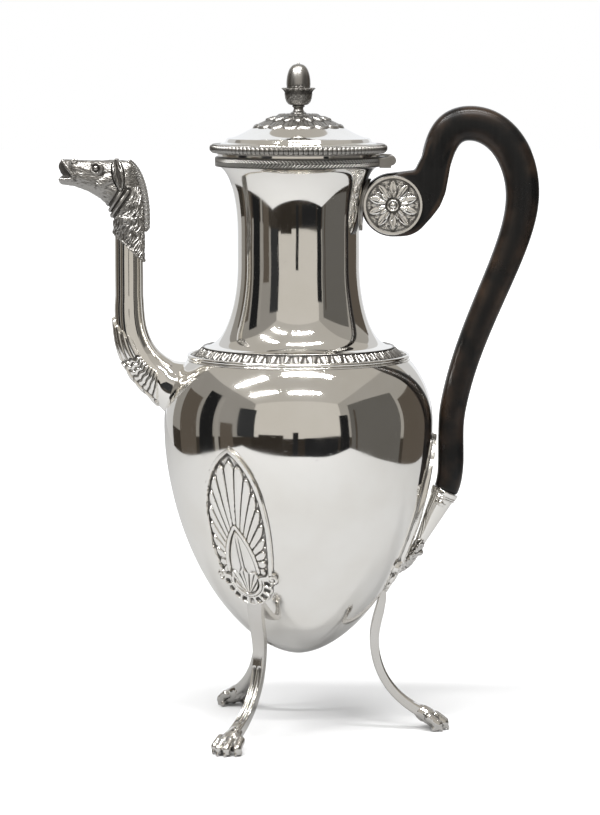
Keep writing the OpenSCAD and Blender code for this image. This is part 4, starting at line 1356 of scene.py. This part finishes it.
def make_leg(pot):
    """Curved leg with two flutes below a square-topped panel, at angle 0."""
    curves = leg_curves(pot)
    panel = 0.585
    drawn_width = 6.4

    def place(u, v):
        point, direction = along(curves, v)
        angle = FULL_TURN * u
        half_w = between([4.1, 3.6, 3.25, 3.1, 2.9, 2.7, 2.55, 2.7, 3.0], v) * pot.leg_width / drawn_width
        half_t = between([1.2, 2.0, 2.3, 2.3, 2.2, 2.1, 2.1, 2.2, 2.5], v)
        spot = tube_point(point, direction, angle, half_t, half_w, 7.0)
        out = Vector((direction.y, 0, -direction.x))
        outer_face = ease(0.75, 0.9, out.dot(spot - Vector((point.x, 0, point.y))) / -half_t)
        flute = dome(abs(spot.y) - 0.48 * half_w, 0.36 * half_w)
        flute *= ease(panel, panel + 0.012, v)
        flute *= ease(0.97, 0.9, v)
        return spot + out * (0.85 * flute * outer_face)

    solid = turn(pot.bowl_outline(60, 16) + [(0, pot.seam_height)], steps=128)
    return without_slivers(welded(cut(skin(96, 140, place), solid)))


def make_paw():
    """Lion's paw with four clawed toes, a cuff of fur and a hollow sole, at angle 0."""
    bm = bmesh.new()
    toe_r, spread = 70.8, 5.9
    cuff = Vector((CUFF.x, 0, CUFF.y))
    limb(bm, (cuff, 3.2, 1.05), ((60.3, 0, 6.8), 3.7, 1.25), ((63.0, 0, 4.6), 3.5, 1.6))
    for across, back in ((-spread, 3.2), (-spread / 3, 0.2), (spread / 3, 0.2), (spread, 3.2)):
        tip = toe_r - 2.4 - back
        limb(bm, ((60.8, across * 0.55, 6.5), 1.8), ((tip - 4.2, across * 0.90, 6.5), 2.1, 0.84),
             ((tip - 2.2, across * 0.96, 5.2), 2.0, 0.84), ((tip - 0.2, across, 3.4), 2.25, 0.82))
        limb(bm, ((tip - 0.2, across, 2.2), 1.7, 0.8), ((tip - 2.0, across, 1.5), 1.5, 0.8))
        limb(bm, ((tip + 1.2, across, 1.9), 0.85), ((tip + 1.8, across, 0.8), 0.6),
             ((tip + 1.6, across, 0.35), 0.4))
    lean, sideways, up = Vector((0.82, 0, -0.57)), Vector((0, 1, 0)), Vector((0.57, 0, 0.82))
    for i in range(9):
        a = FULL_TURN * i / 9 + 0.2
        out = sideways * math.cos(a) + up * math.sin(a)
        ring = cuff + lean * 0.4 + out * 2.7
        limb(bm, (ring, 0.85), (ring + lean * 2.4 + out * 0.6, 0.75), (ring + lean * 4.0 + out * 0.3, 0.3))
    bm = fuse(bm, voxel=0.24, rounds=1)
    sole = bmesh.new()
    limb(sole, ((54, 0, -2.2), 6.2, 1.1), ((63.5, 0, -3.6), 4.9, 1.15))
    bm = sliced(fuse(cut(bm, sole), voxel=0.24, rounds=1), (0, 0, 0.02), (0, 0, 1))
    return sculpt(bm, lambda place, normal: 0.10 * noise.noise(place / 1.1) * ease(0.1, 1.0, place.z))


# Handle, socket and hinge

SCROLL = Vector((43.264, 245.402))
SOCKET_TOP = Vector((68.3, 113.0))
SOCKET_LEAN = math.radians(26)


def grip_curves():
    """Middle line of the wooden grip, from its scroll over the crest and down to the socket."""
    start = SCROLL + Vector((11, 0.5))
    crest = SCROLL + Vector((35.2, 37.3))
    back = SCROLL + Vector((59.7, 4.6))
    low = SOCKET_TOP + Vector((3.2, 38.4))
    down = Vector((math.sin(SOCKET_LEAN), math.cos(SOCKET_LEAN)))
    return [[start, start + Vector((12, 8.5)), crest - Vector((19, 0)), crest],
            [crest, crest + Vector((14.8, 0)), back + Vector((0, 17)), back],
            [back, back - Vector((0, 25.4)), low + Vector((7, 40)), low],
            [low, low - Vector((2.3, 13.4)), SOCKET_TOP + down * 10, SOCKET_TOP]]


def to_scroll(bm, angle=math.pi / 2, verts=None, across=0, up=0):
    """Lays upright points on their side and moves them to a place by the scroll's middle."""
    roll(bm, angle, "X", verts)
    bmesh.ops.translate(bm, vec=(SCROLL.x + across, 0, SCROLL.y + up), verts=verts or bm.verts)
    return bm


def make_grip(pot):
    """Ebonised grip: a sawn and rounded curve of wood that ends in a scroll."""
    curves = grip_curves()
    half_ts = [8, 6.9, 7.8, 8.1, 8.1, 7.7, 6.9, 6.3, 5.9, 6.0, 5.7]
    half_ws = [5.6, 5.8, 6.8, 6.9, 6.9, 6.9, 6.8, 6.5, 5.9, 6.0, 5.7]

    def place(u, v):
        point, direction = along(curves, v)
        power = between([4, 3.4, 3.0, 3.0, 3.0, 2.9, 2.7, 2.4, 2.1], v)
        return tube_point(point, direction, FULL_TURN * u, between(half_ts, v), between(half_ws, v), power)

    bm = skin(64, 260, place)
    half = 6.0
    r = pot.scroll_radius
    disc = turn(soften([(0, -half), (r, -half), (r, half), (0, half)], 1.6, 8), steps=128)
    append(bm, to_scroll(disc))
    volute = [((0, 0), r), ((4, -1), 13.4), ((9.5, 1.5), 11), ((13.0, 4.3), 9.9), ((16, 8), 8.5),
              ((18.4, 15.5), 7.5), ((20.1, 20.6), 6.6), ((21.4, 25.5), 6.8)]
    for first, last in ((0, 1), (1, 2), (2, 3), (3, 4), (0, 4), (4, 5), (5, 6), (6, 7)):
        web = bmesh.new()
        for middle, size in (volute[first], volute[last]):
            drum = add_drum(web, (0, 0, 0), size, size, depth=2 * half - 0.8, segments=64)
            to_scroll(web, verts=drum, across=middle[0], up=middle[1])
        append(bm, hull(web))
    bm = fuse(bm, voxel=0.55, rounds=8)
    throat = offset_outline(pot.neck_outline(24)[26:], 1.4)
    neck = turn([(0, pot.throat_z - 20)] + throat + [(0, pot.lip_height)], steps=128)
    return cut(bm, neck)


def petal(angle, repeat, shift, r, start, tip, wide, peak):
    """One tier of pointed petals with a crease along each."""
    t = (r - start) / (tip - start)
    if not 0 < t < 1:
        return 0
    x = cell(angle / FULL_TURN * repeat + shift)
    width = max(0.03, wide * math.sin(math.pi * (0.35 + 0.65 * t)) ** 0.8)
    crease = 0.14 * dome(x, 0.05) * ease(1.0, 0.7, t)
    return (peak * (0.55 + 0.45 * dome(x, width)) - crease) * ease(width, 0.82 * width, abs(x))


def rosette_height(petals, angle, r):
    """Relief of a flower disc: plain rim, stippled field, three tiers of petals and a ringed boss."""
    rim = 1.55 * ease(12.1, 12.4, r) * ease(13.8, 13.45, r)
    spot = Vector((r * math.cos(angle), r * math.sin(angle), 0))
    field = 0.12 + 0.16 * noise.noise(spot * 2.2)
    between_petals = petal(angle, petals, 0.5, r, 4.5, 10.2, 0.36, 0.66)
    long_petals = petal(angle, petals, 0.0, r, 4.5, 11.6, 0.46, 1.35)
    short_petals = petal(angle, petals + 4, 0.2, r, 3.4, 7.1, 0.46, 1.75)
    height = max(field, between_petals, long_petals, short_petals)
    if r < 3.6:
        boss = 1.3 + 1.0 * dome(r, 1.5) if r < 1.5 else 0.9
        height = 0.3 if r > 3.0 else max(1.9 * dome(r - 2.3, 0.7), boss)
    return max(rim, height if r < 12.2 else 0)


def make_rosette(pot, side):
    """Flower disc on one face of the scroll."""
    edge = pot.scroll_radius - 0.7
    drawn_r = 13.8
    seat = 6.05
    rows = 70
    marks = [edge * i / rows for i in range(rows + 1)]
    bm = turn([(r, 1) for r in marks] + [(r, 0) for r in marks[::-1]], steps=pot.rosette_petals * 28)
    for vert in bm.verts:
        r, angle = polar(vert)
        raised = 0
        if vert.co.z > 0.5 and r < edge - 0.01:
            raised = max(0.0, rosette_height(pot.rosette_petals, angle, r * drawn_r / edge))
        vert.co.z = seat + raised
    return to_scroll(welded(bm), -side * math.pi / 2)


def to_socket(bm):
    """Moves a shape that was turned round Z to the top of the lower socket."""
    roll(bm, SOCKET_LEAN, "Y")
    bmesh.ops.translate(bm, vec=(SOCKET_TOP.x, 0, SOCKET_TOP.y), verts=bm.verts)
    return bm


def make_socket():
    """Tapering silver socket with a hollow for the wood."""
    outer = soften([(0, -27), (2.3, -27), (2.4, -26.6), (5.4, -4.2), (5.7, -0.05)], 0.4)
    inner = [(4.75, -0.05), (2.6, -16.4), (0, -16.4)]
    return to_socket(turn(outer + inner, steps=96))


def make_collar():
    """Moulded rim of the socket: a flat bright band over two fine rings."""
    band = [(5.68, -0.1), (6.35, -0.1), (6.45, -0.4), (6.35, -2.0), (6.0, -2.2)]
    rings = [(6.25, -2.5), (6.25, -2.8), (5.85, -3.1), (6.1, -3.4), (6.1, -3.7), (5.5, -4.1)]
    profile = soften(band + rings, 0.2, 3)
    return to_socket(turn(profile, steps=96, closed=True))


def make_socket_pin():
    """Boss of the socket's pin with a curl on each side."""
    bm = bmesh.new()
    for side in (-1, 1):
        ball(bm, (0, side * 5.25, -6), 1.55, 0.75)
        for turn_to in (-1, 1):
            curl = [(turn_to * (1.5 + 1.3 * i / 6), side * (5.15 - 0.22 * i), -6 - 0.9 * math.sin(i * 0.9))
                    for i in range(7)]
            limb(bm, *[(spot, 0.62 - 0.05 * i) for i, spot in enumerate(curl)])
    limb(bm, ((0, -5.2, -6), 0.95), ((0, 5.2, -6), 0.95))
    return to_socket(fuse(bm, voxel=0.2, rounds=2))


def make_bracket(pot):
    """Leafy scroll between the socket and the bowl."""
    down = Vector((math.sin(SOCKET_LEAN), math.cos(SOCKET_LEAN)))
    top = SOCKET_TOP - down * 26.6
    foot_z = 76.0
    foot = Vector((pot.bowl_radius(foot_z) + 1.3, foot_z))
    curve = [top, top - down * 4, foot + Vector((4.6, 3.6)), foot]
    bm = bmesh.new()
    stations = [bezier(curve, i / 8) for i in range(9)]
    radii = [2.4, 2.6, 2.5, 2.6, 2.8, 2.9, 2.7, 2.4, 2.0]
    limb(bm, *[((p.x, 0, p.y), r, 1.2) for p, r in zip(stations, radii)])
    for i in range(1, 8):
        p = stations[i]
        for side in (-1, 1):
            limb(bm, ((p.x, side * 1.4, p.y - 0.6), 1.15), ((p.x + 0.9, side * 3.0, p.y + 0.8), 1.05),
                 ((p.x + 1.0, side * 3.9, p.y + 2.3), 0.6))
        limb(bm, ((p.x + 1.6, 0, p.y - 0.9), 0.9), ((p.x + 2.7, 0, p.y + 1.2), 0.7))
    ball(bm, (stations[3].x + 2.2, 0, stations[3].y - 0.6), 1.7, 1.3)
    return sculpt(fuse(bm, voxel=0.24, rounds=2), lambda place, normal: 0.45 * noise.noise(place / 1.5))


def make_hinge_block(pot):
    """Pot's half of the hinge: two solid knuckles that grow out of the rim, on a plate."""
    low, high = (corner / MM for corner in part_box("hinge_pot_leaf"))
    barrel_r, leaf_t = 2.3, 0.8
    axis = Vector((high.x - barrel_r, high.z - barrel_r))
    inside = pot.mouth_radius - 1.0
    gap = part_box("hinge_lid_leaf")[1].y / MM + 0.2
    barrel = arc(axis, barrel_r, -math.pi / 2, math.pi / 2, 16)
    bottom = [(inside, low.z), (axis.x, low.z)]
    knuckle = bottom + barrel + [(axis.x - 2.6, axis.y + 1.3), (inside, axis.y + 1.3)]
    leaf = bottom + [(axis.x, low.z + leaf_t), (inside, low.z + leaf_t)]
    bm = prism(leaf, low.y, high.y)
    append(bm, prism(knuckle, gap, high.y))
    append(bm, prism(knuckle, low.y, -gap))
    bm = fuse(bm, voxel=0.16, rounds=1)
    band_r = pot.mouth_radius + 0.95
    band = turn([(0, low.z - 9), (band_r, low.z - 9), (band_r, high.z + 9), (0, high.z + 9)], steps=192)
    bm = cut(bm, band)
    bore = bmesh.new()
    limb(bore, ((axis.x, low.y - 2, axis.y), 0.95), ((axis.x, high.y + 2, axis.y), 0.95))
    return cut(bm, bore)


# Operators

class PotOperator:
    """Options that the operators share."""

    bl_options = {"REGISTER", "UNDO"}


class POT_OT_body(PotOperator, bpy.types.Operator):
    """Make the bowl and the neck"""

    bl_idname = "coffee_pot.body"
    bl_label = "Bowl and neck"

    def execute(self, context):
        pot = PotShape(context.scene.pot_sizes)
        add_piece(make_bowl(pot), "bowl_shell", polished_silver(), ["bowl"])
        add_piece(make_neck(pot), "neck_shell", polished_silver(), ["neck"])
        return {"FINISHED"}


class POT_OT_bands(PotOperator, bpy.types.Operator):
    """Make the wire and leaf band on the shoulder and the laurel band on the mouth"""

    bl_idname = "coffee_pot.bands"
    bl_label = "Ornament bands"

    def execute(self, context):
        pot = PotShape(context.scene.pot_sizes)
        add_piece(make_wire(pot), "shoulder_bead", polished_silver(), ["shoulder_wire"])
        add_piece(make_shoulder_band(pot), "shoulder_leaves", cast_silver(), ["shoulder_band"],
                  hollow_rounds=30, hollow_depth=0.12)
        add_piece(make_rim_band(pot), "rim_laurel", cast_silver(), ["rim_band"],
                  hollow_rounds=18, hollow_depth=0.06)
        return {"FINISHED"}


class POT_OT_lid(PotOperator, bpy.types.Operator):
    """Make the lid's dome, leafy border and calyx"""

    bl_idname = "coffee_pot.lid"
    bl_label = "Lid"

    def execute(self, context):
        pot = PotShape(context.scene.pot_sizes)
        add_piece(make_lid_dome(pot), "lid_shell", polished_silver(), ["lid_dome"], body="lid")
        add_piece(make_lid_border(pot), "lid_leaves", cast_silver(), ["lid_border"], body="lid",
                  hollow_rounds=24, hollow_depth=0.10)
        add_piece(make_calyx(pot), "lid_calyx", cast_silver(), ["calyx"], body="lid",
                  hollow_rounds=30, hollow_depth=0.14)
        return {"FINISHED"}


class POT_OT_finial(PotOperator, bpy.types.Operator):
    """Make the acorn and its cup"""

    bl_idname = "coffee_pot.finial"
    bl_label = "Acorn finial"

    def execute(self, context):
        pot = PotShape(context.scene.pot_sizes)
        add_piece(make_cup(pot), "finial_cup", cast_silver(), ["acorn_cup"], body="lid", hollow_rounds=16)
        add_piece(make_acorn(pot), "finial_acorn", cast_silver(), ["acorn"], body="lid")
        return {"FINISHED"}


class POT_OT_spout(PotOperator, bpy.types.Operator):
    """Make the spout and its acanthus leaf"""

    bl_idname = "coffee_pot.spout"
    bl_label = "Spout"

    def execute(self, context):
        pot = PotShape(context.scene.pot_sizes)
        add_piece(make_spout(pot), "spout_pipe", polished_silver(), ["spout_tube"])
        add_piece(make_acanthus(pot), "spout_acanthus", chased_silver(), ["spout_leaf"], hollow_rounds=40)
        return {"FINISHED"}


class POT_OT_horse_head(PotOperator, bpy.types.Operator):
    """Make the horse's head and its mane"""

    bl_idname = "coffee_pot.horse_head"
    bl_label = "Horse's head"

    def execute(self, context):
        pot = PotShape(context.scene.pot_sizes)
        head = add_piece(make_horse_head(pot), "head_of_horse", cast_silver(), ["horse_head"], crease=60,
                         hollow_rounds=120, hollow_depth=0.24)
        # Points inside the open mouth are set fully hollow, so the tarnish colour paints shade into the mouth
        hollow = head.data.attributes["hollow"].data
        for vert in head.data.vertices:
            if in_mouth(vert.co / MM):
                hollow[vert.index].value = 1.0
        add_piece(make_mane(), "mane_crest", cast_silver(), ["mane"], crease=60,
                  hollow_rounds=24, hollow_depth=0.12)
        return {"FINISHED"}


class POT_OT_palmettes(PotOperator, bpy.types.Operator):
    """Make the three palmettes on the bowl"""

    bl_idname = "coffee_pot.palmettes"
    bl_label = "Palmettes"

    def execute(self, context):
        pot = PotShape(context.scene.pot_sizes)
        plaque = make_palmette(pot)
        for name, angle in LEG_ANGLES.items():
            add_piece(turned_copy(plaque, angle), f"palmette_relief_{name}", chased_silver(),
                      [f"palmette_{name}"], hollow_rounds=36, hollow_depth=0.30)
        plaque.free()
        return {"FINISHED"}


class POT_OT_legs(PotOperator, bpy.types.Operator):
    """Make the three legs and their paws"""

    bl_idname = "coffee_pot.legs"
    bl_label = "Legs and paws"

    def execute(self, context):
        pot = PotShape(context.scene.pot_sizes)
        leg, paw = make_leg(pot), make_paw()
        for name, angle in LEG_ANGLES.items():
            add_piece(turned_copy(leg, angle), f"leg_curve_{name}", worn_silver(), [f"leg_{name}"], crease=75,
                      hollow_rounds=20, hollow_depth=0.4)
            add_piece(turned_copy(paw, angle), f"paw_toes_{name}", worn_silver(), [f"paw_{name}"], crease=70,
                      hollow_rounds=60, hollow_depth=0.24)
        leg.free()
        paw.free()
        return {"FINISHED"}


class POT_OT_handle(PotOperator, bpy.types.Operator):
    """Make the wooden grip and its flower discs"""

    bl_idname = "coffee_pot.handle"
    bl_label = "Handle"

    def execute(self, context):
        pot = PotShape(context.scene.pot_sizes)
        add_piece(make_grip(pot), "wooden_grip", ebonised_wood(), ["handle_grip"],
                  hollow_rounds=30, hollow_depth=0.16)
        for name, side in (("front", -1), ("rear", 1)):
            add_piece(make_rosette(pot, side), f"flower_disc_{name}", chased_silver(), [f"rosette_{name}"],
                      hollow_rounds=30, hollow_depth=0.26)
        return {"FINISHED"}


class POT_OT_socket(PotOperator, bpy.types.Operator):
    """Make the lower socket with its collar, pin and leafy bracket"""

    bl_idname = "coffee_pot.socket"
    bl_label = "Lower socket"

    def execute(self, context):
        pot = PotShape(context.scene.pot_sizes)
        add_piece(make_socket(), "socket_cone", polished_silver(), ["ferrule"])
        add_piece(make_collar(), "socket_collar", polished_silver(), ["ferrule_collar"], hollow_rounds=8)
        add_piece(make_socket_pin(), "socket_boss", chased_silver(), ["ferrule_pin"], crease=70,
                  hollow_rounds=16)
        add_piece(make_bracket(pot), "leafy_bracket", worn_silver(), ["lower_bracket"], crease=70,
                  hollow_rounds=50)
        return {"FINISHED"}


class POT_OT_fittings(PotOperator, bpy.types.Operator):
    """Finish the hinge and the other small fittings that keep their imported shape"""

    bl_idname = "coffee_pot.fittings"
    bl_label = "Hinge and fittings"

    def execute(self, context):
        pot = PotShape(context.scene.pot_sizes)
        add_piece(make_hinge_block(pot), "hinge_knuckles", cast_silver(), ["hinge_pot_leaf"],
                  hollow_rounds=12)
        for node in ("neck_mount", "rosette_pin", "hinge_pin", "hinge_lid_leaf", "lid_bezel",
                     "finial_washer", "finial_nut"):
            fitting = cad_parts[node]
            fitting.data.materials.clear()
            fitting.data.materials.append(cast_silver())
            weld = fitting.modifiers.new("Weld", "WELD")
            weld.merge_threshold = 0.01 * MM
            bevel = fitting.modifiers.new("Soft edges", "BEVEL")
            bevel.width = 0.15 * MM
            bevel.segments = 2
            bevel.limit_method = "ANGLE"
        return {"FINISHED"}


# Stage

def stage_sheet(name, corner, across, up, material):
    """Flat four-cornered piece of the stage."""
    bm = bmesh.new()
    corner, across, up = Vector(corner), Vector(across), Vector(up)
    bm.faces.new([bm.verts.new(p) for p in (corner, corner + across, corner + across + up, corner + up)])
    mesh = bpy.data.meshes.new(name)
    bm.to_mesh(mesh)
    bm.free()
    mesh.materials.append(material)
    obj = bpy.data.objects.new(name, mesh)
    bpy.context.scene.collection.objects.link(obj)
    return obj


def seen_only_in_reflections(obj):
    """Hides an object from everything but mirrored light."""
    for ray in ("camera", "diffuse", "transmission", "volume_scatter", "shadow"):
        setattr(obj, f"visible_{ray}", False)


def card(name, corner, across, up, light, tint):
    """Flat glowing card that only reflections see."""
    material = bpy.data.materials.new(name)
    material.use_nodes = True
    tree = material.node_tree
    tree.nodes.clear()
    glow = tree.nodes.new("ShaderNodeEmission")
    glow.inputs["Color"].default_value = (*tint, 1)
    glow.inputs["Strength"].default_value = light
    tree.links.new(glow.outputs["Emission"], tree.nodes.new("ShaderNodeOutputMaterial").inputs["Surface"])
    seen_only_in_reflections(stage_sheet(name, corner, across, up, material))


def table_sheet(name, corner, across, up, tone=1.0):
    """Flat sheet that takes shadows: the pale floor, or, with a tone below 1, a dimmer copy of it."""
    material, tree, shader = new_material(name + "_paper")
    shader.inputs["Roughness"].default_value = 0.8
    shader.inputs["Specular IOR Level"].default_value = 0.1
    floor = tuple(tone * part for part in bpy.context.scene.pot_finishes.floor)
    greyer = tuple(0.99 * part for part in floor)
    cloud = add_range(tree, add_noise(tree, 2.5, detail=2), 0.3, 0.7)
    tree.links.new(add_mix(tree, cloud, floor, greyer), shader.inputs["Base Color"])
    return stage_sheet(name, corner, across, up, material)


def fade_to_white(floor):
    """Lets the floor glow with distance, so that it runs into the white behind it."""
    tree = floor.data.materials[0].node_tree
    shader = tree.nodes["Principled BSDF"]
    place = tree.nodes.new("ShaderNodeTexCoord")
    away = tree.nodes.new("ShaderNodeVectorMath")
    away.operation = "LENGTH"
    tree.links.new(place.outputs["Object"], away.inputs[0])
    tree.links.new(add_range(tree, away.outputs["Value"], 0.35, 1.6), shader.inputs["Emission Color"])
    shader.inputs["Emission Strength"].default_value = 0.7


def screen(name, turn_from, turn_to, low, high, light, tint, away=2.6):
    """Upright card between two directions, counted in degrees from the camera's side."""
    angles = (math.radians(turn_from), math.radians(turn_to))
    start, end = (Vector((away * math.sin(a), -away * math.cos(a), low)) for a in angles)
    card(name, start, end - start, (0, 0, high - low), light, tint)


def make_room():
    """Plain room of glowing cards round the table, for the silver to mirror."""
    left, right, back, front, floor_z, dado, ceiling = -3.0, 2.7, 3.0, -3.6, -0.75, -0.25, 2.62
    wide, deep = right - left, back - front
    warm, cool, brown = (1.0, 0.95, 0.87), (0.95, 0.97, 1.0), (1.0, 0.84, 0.68)
    high = ceiling - dado
    low = dado - floor_z
    card("room_ceiling", (left, front, ceiling), (wide, 0, 0), (0, deep, 0), 0.46, warm)
    card("room_floor", (left, front, floor_z), (wide, 0, 0), (0, deep, 0), 0.035, brown)
    walls = (("behind_camera", left, (wide, 0, 0), 0.58, 0.03), ("left", left, (0, deep, 0), 0.27, 0.04),
             ("right", right, (0, deep, 0), 0.34, 0.05))
    for side, x, across, wall_light, dado_light in walls:
        card(f"wall_{side}", (x, front, dado), across, (0, 0, high), wall_light, warm)
        card(f"dado_{side}", (x, front, floor_z), across, (0, 0, low), dado_light, brown)
    screen("screen_far_left", -120, -97, floor_z, 1.1, 0.10, brown)
    screen("screen_left", -93, -77, floor_z, 1.6, 0.014, cool)
    screen("screen_left_edge", -75, -71, floor_z, 1.5, 0.30, warm)
    screen("screen_left_low", -69, -57, floor_z, 0.35, 0.10, brown)
    screen("screen_left_corner", -53, -37, -0.1, 1.15, 0.035, cool)
    screen("bench_left", -33, -13, floor_z, 0.0, 0.03, brown)
    screen("bench_middle", -5, 0, floor_z, 0.12, 0.02, cool)
    screen("bench_right", 6, 33, floor_z, -0.12, 0.018, cool)
    screen("screen_right_corner", 35, 43, floor_z, 0.85, 0.014, cool)
    screen("screen_right", 45, 96, floor_z, 1.35, 0.12, warm, 2.5)
    screen("screen_right_bright", 62, 84, floor_z, 0.8, 0.24, warm, 2.4)
    screen("screen_right_brown", 49, 58, floor_z, 1.0, 0.07, brown, 2.4)
    screen("screen_far_right", 100, 140, floor_z, 1.0, 0.10, brown)
    card("backdrop", (-0.8, 1.9, -0.02), (1.6, 0, 0), (0, 0, 2.3), 0.96, cool)


def lamp(name, x, y, size_x, size_y, power):
    """Long soft lamp under the ceiling."""
    light = bpy.data.lights.new(name, "AREA")
    light.shape = "RECTANGLE"
    light.size = size_x
    light.size_y = size_y
    light.energy = power
    obj = bpy.data.objects.new(name, light)
    obj.location = (x, y, 2.58)
    obj.visible_camera = False
    bpy.context.scene.collection.objects.link(obj)


def make_world():
    """White to the camera, and an even soft light to everything else."""
    world = bpy.data.worlds.new("soft_studio")
    bpy.context.scene.world = world
    world.use_nodes = True
    tree = world.node_tree
    tree.nodes.clear()
    seen = tree.nodes.new("ShaderNodeLightPath")
    lit, white = tree.nodes.new("ShaderNodeBackground"), tree.nodes.new("ShaderNodeBackground")
    lit.inputs["Strength"].default_value = 0.62
    white.inputs["Strength"].default_value = 1.0
    for sky in (lit, white):
        sky.inputs["Color"].default_value = (1, 1, 1, 1)
    mix = tree.nodes.new("ShaderNodeMixShader")
    tree.links.new(seen.outputs["Is Camera Ray"], mix.inputs["Fac"])
    tree.links.new(lit.outputs["Background"], mix.inputs[1])
    tree.links.new(white.outputs["Background"], mix.inputs[2])
    tree.links.new(mix.outputs["Shader"], tree.nodes.new("ShaderNodeOutputWorld").inputs["Surface"])


def make_camera():
    """Camera a little above the pot, with a long lens."""
    data = bpy.data.cameras.new("camera")
    data.sensor_width = 36
    data.lens = 144
    camera = bpy.data.objects.new("camera", data)
    bpy.context.scene.collection.objects.link(camera)
    aim = Vector((0.0007, 0, 0.1515))
    camera.location = (0.0007, -1.5, 0.3206)
    camera.rotation_euler = (aim - camera.location).to_track_quat("-Z", "Y").to_euler()
    bpy.context.scene.camera = camera


class POT_OT_stage(PotOperator, bpy.types.Operator):
    """Make the pale floor, the soft studio light and the camera"""

    bl_idname = "coffee_pot.stage"
    bl_label = "Stage"

    def execute(self, context):
        floor = table_sheet("floor", (-8, -8, 0), (16, 0, 0), (0, 16, 0))
        floor.visible_glossy = False
        fade_to_white(floor)
        # Dimmer copy of the table at 0.47 of the floor's tone, seen only in reflections: painted shade on the
        # table that the bowl mirrors, besides the real shadows it takes
        paper = table_sheet("paper", (-0.62, -0.56, 0.0001), (1.14, 0, 0), (0, 2.5, 0), 0.47)
        seen_only_in_reflections(paper)
        make_room()
        for name, x, y in (("lamp_near_left", -1.75, -0.9), ("lamp_near_right", 0.3, -0.85),
                           ("lamp_far_left", -1.68, -2.2), ("lamp_far_right", 0.32, -2.35)):
            lamp(name, x, y, size_x=1.5, size_y=0.2, power=48)
        make_world()
        make_camera()
        context.scene.view_settings.view_transform = "Standard"
        return {"FINISHED"}


class POT_PT_panel(bpy.types.Panel):
    """Lists the pot's sizes, finishes and operators"""

    bl_idname = "POT_PT_panel"
    bl_label = "Coffee pot"
    bl_space_type = "VIEW_3D"
    bl_region_type = "UI"
    bl_category = "Coffee pot"

    def draw(self, context):
        layout = self.layout
        for group in (context.scene.pot_sizes, context.scene.pot_finishes):
            for name in type(group).__annotations__:
                layout.prop(group, name)
        for operator in OPERATORS:
            layout.operator(operator.bl_idname)


OPERATORS = (POT_OT_body, POT_OT_bands, POT_OT_lid, POT_OT_finial, POT_OT_spout, POT_OT_horse_head,
             POT_OT_palmettes, POT_OT_legs, POT_OT_handle, POT_OT_socket, POT_OT_fittings, POT_OT_stage)
CLASSES = (PotSizes, PotFinishes, *OPERATORS, POT_PT_panel)


def register():
    """Registers the classes and hangs the sizes and finishes on the scene."""
    for cls in CLASSES:
        bpy.utils.register_class(cls)
    bpy.types.Scene.pot_sizes = PointerProperty(type=PotSizes)
    bpy.types.Scene.pot_finishes = PointerProperty(type=PotFinishes)


def unregister():
    """Takes the sizes, finishes and classes away again."""
    del bpy.types.Scene.pot_finishes
    del bpy.types.Scene.pot_sizes
    for cls in reversed(CLASSES):
        bpy.utils.unregister_class(cls)


def main():
    """Builds every piece and the stage."""
    register()
    for operator in OPERATORS:
        getattr(bpy.ops.coffee_pot, operator.bl_idname.split(".")[1])()


if __name__ == "__main__":
    main()
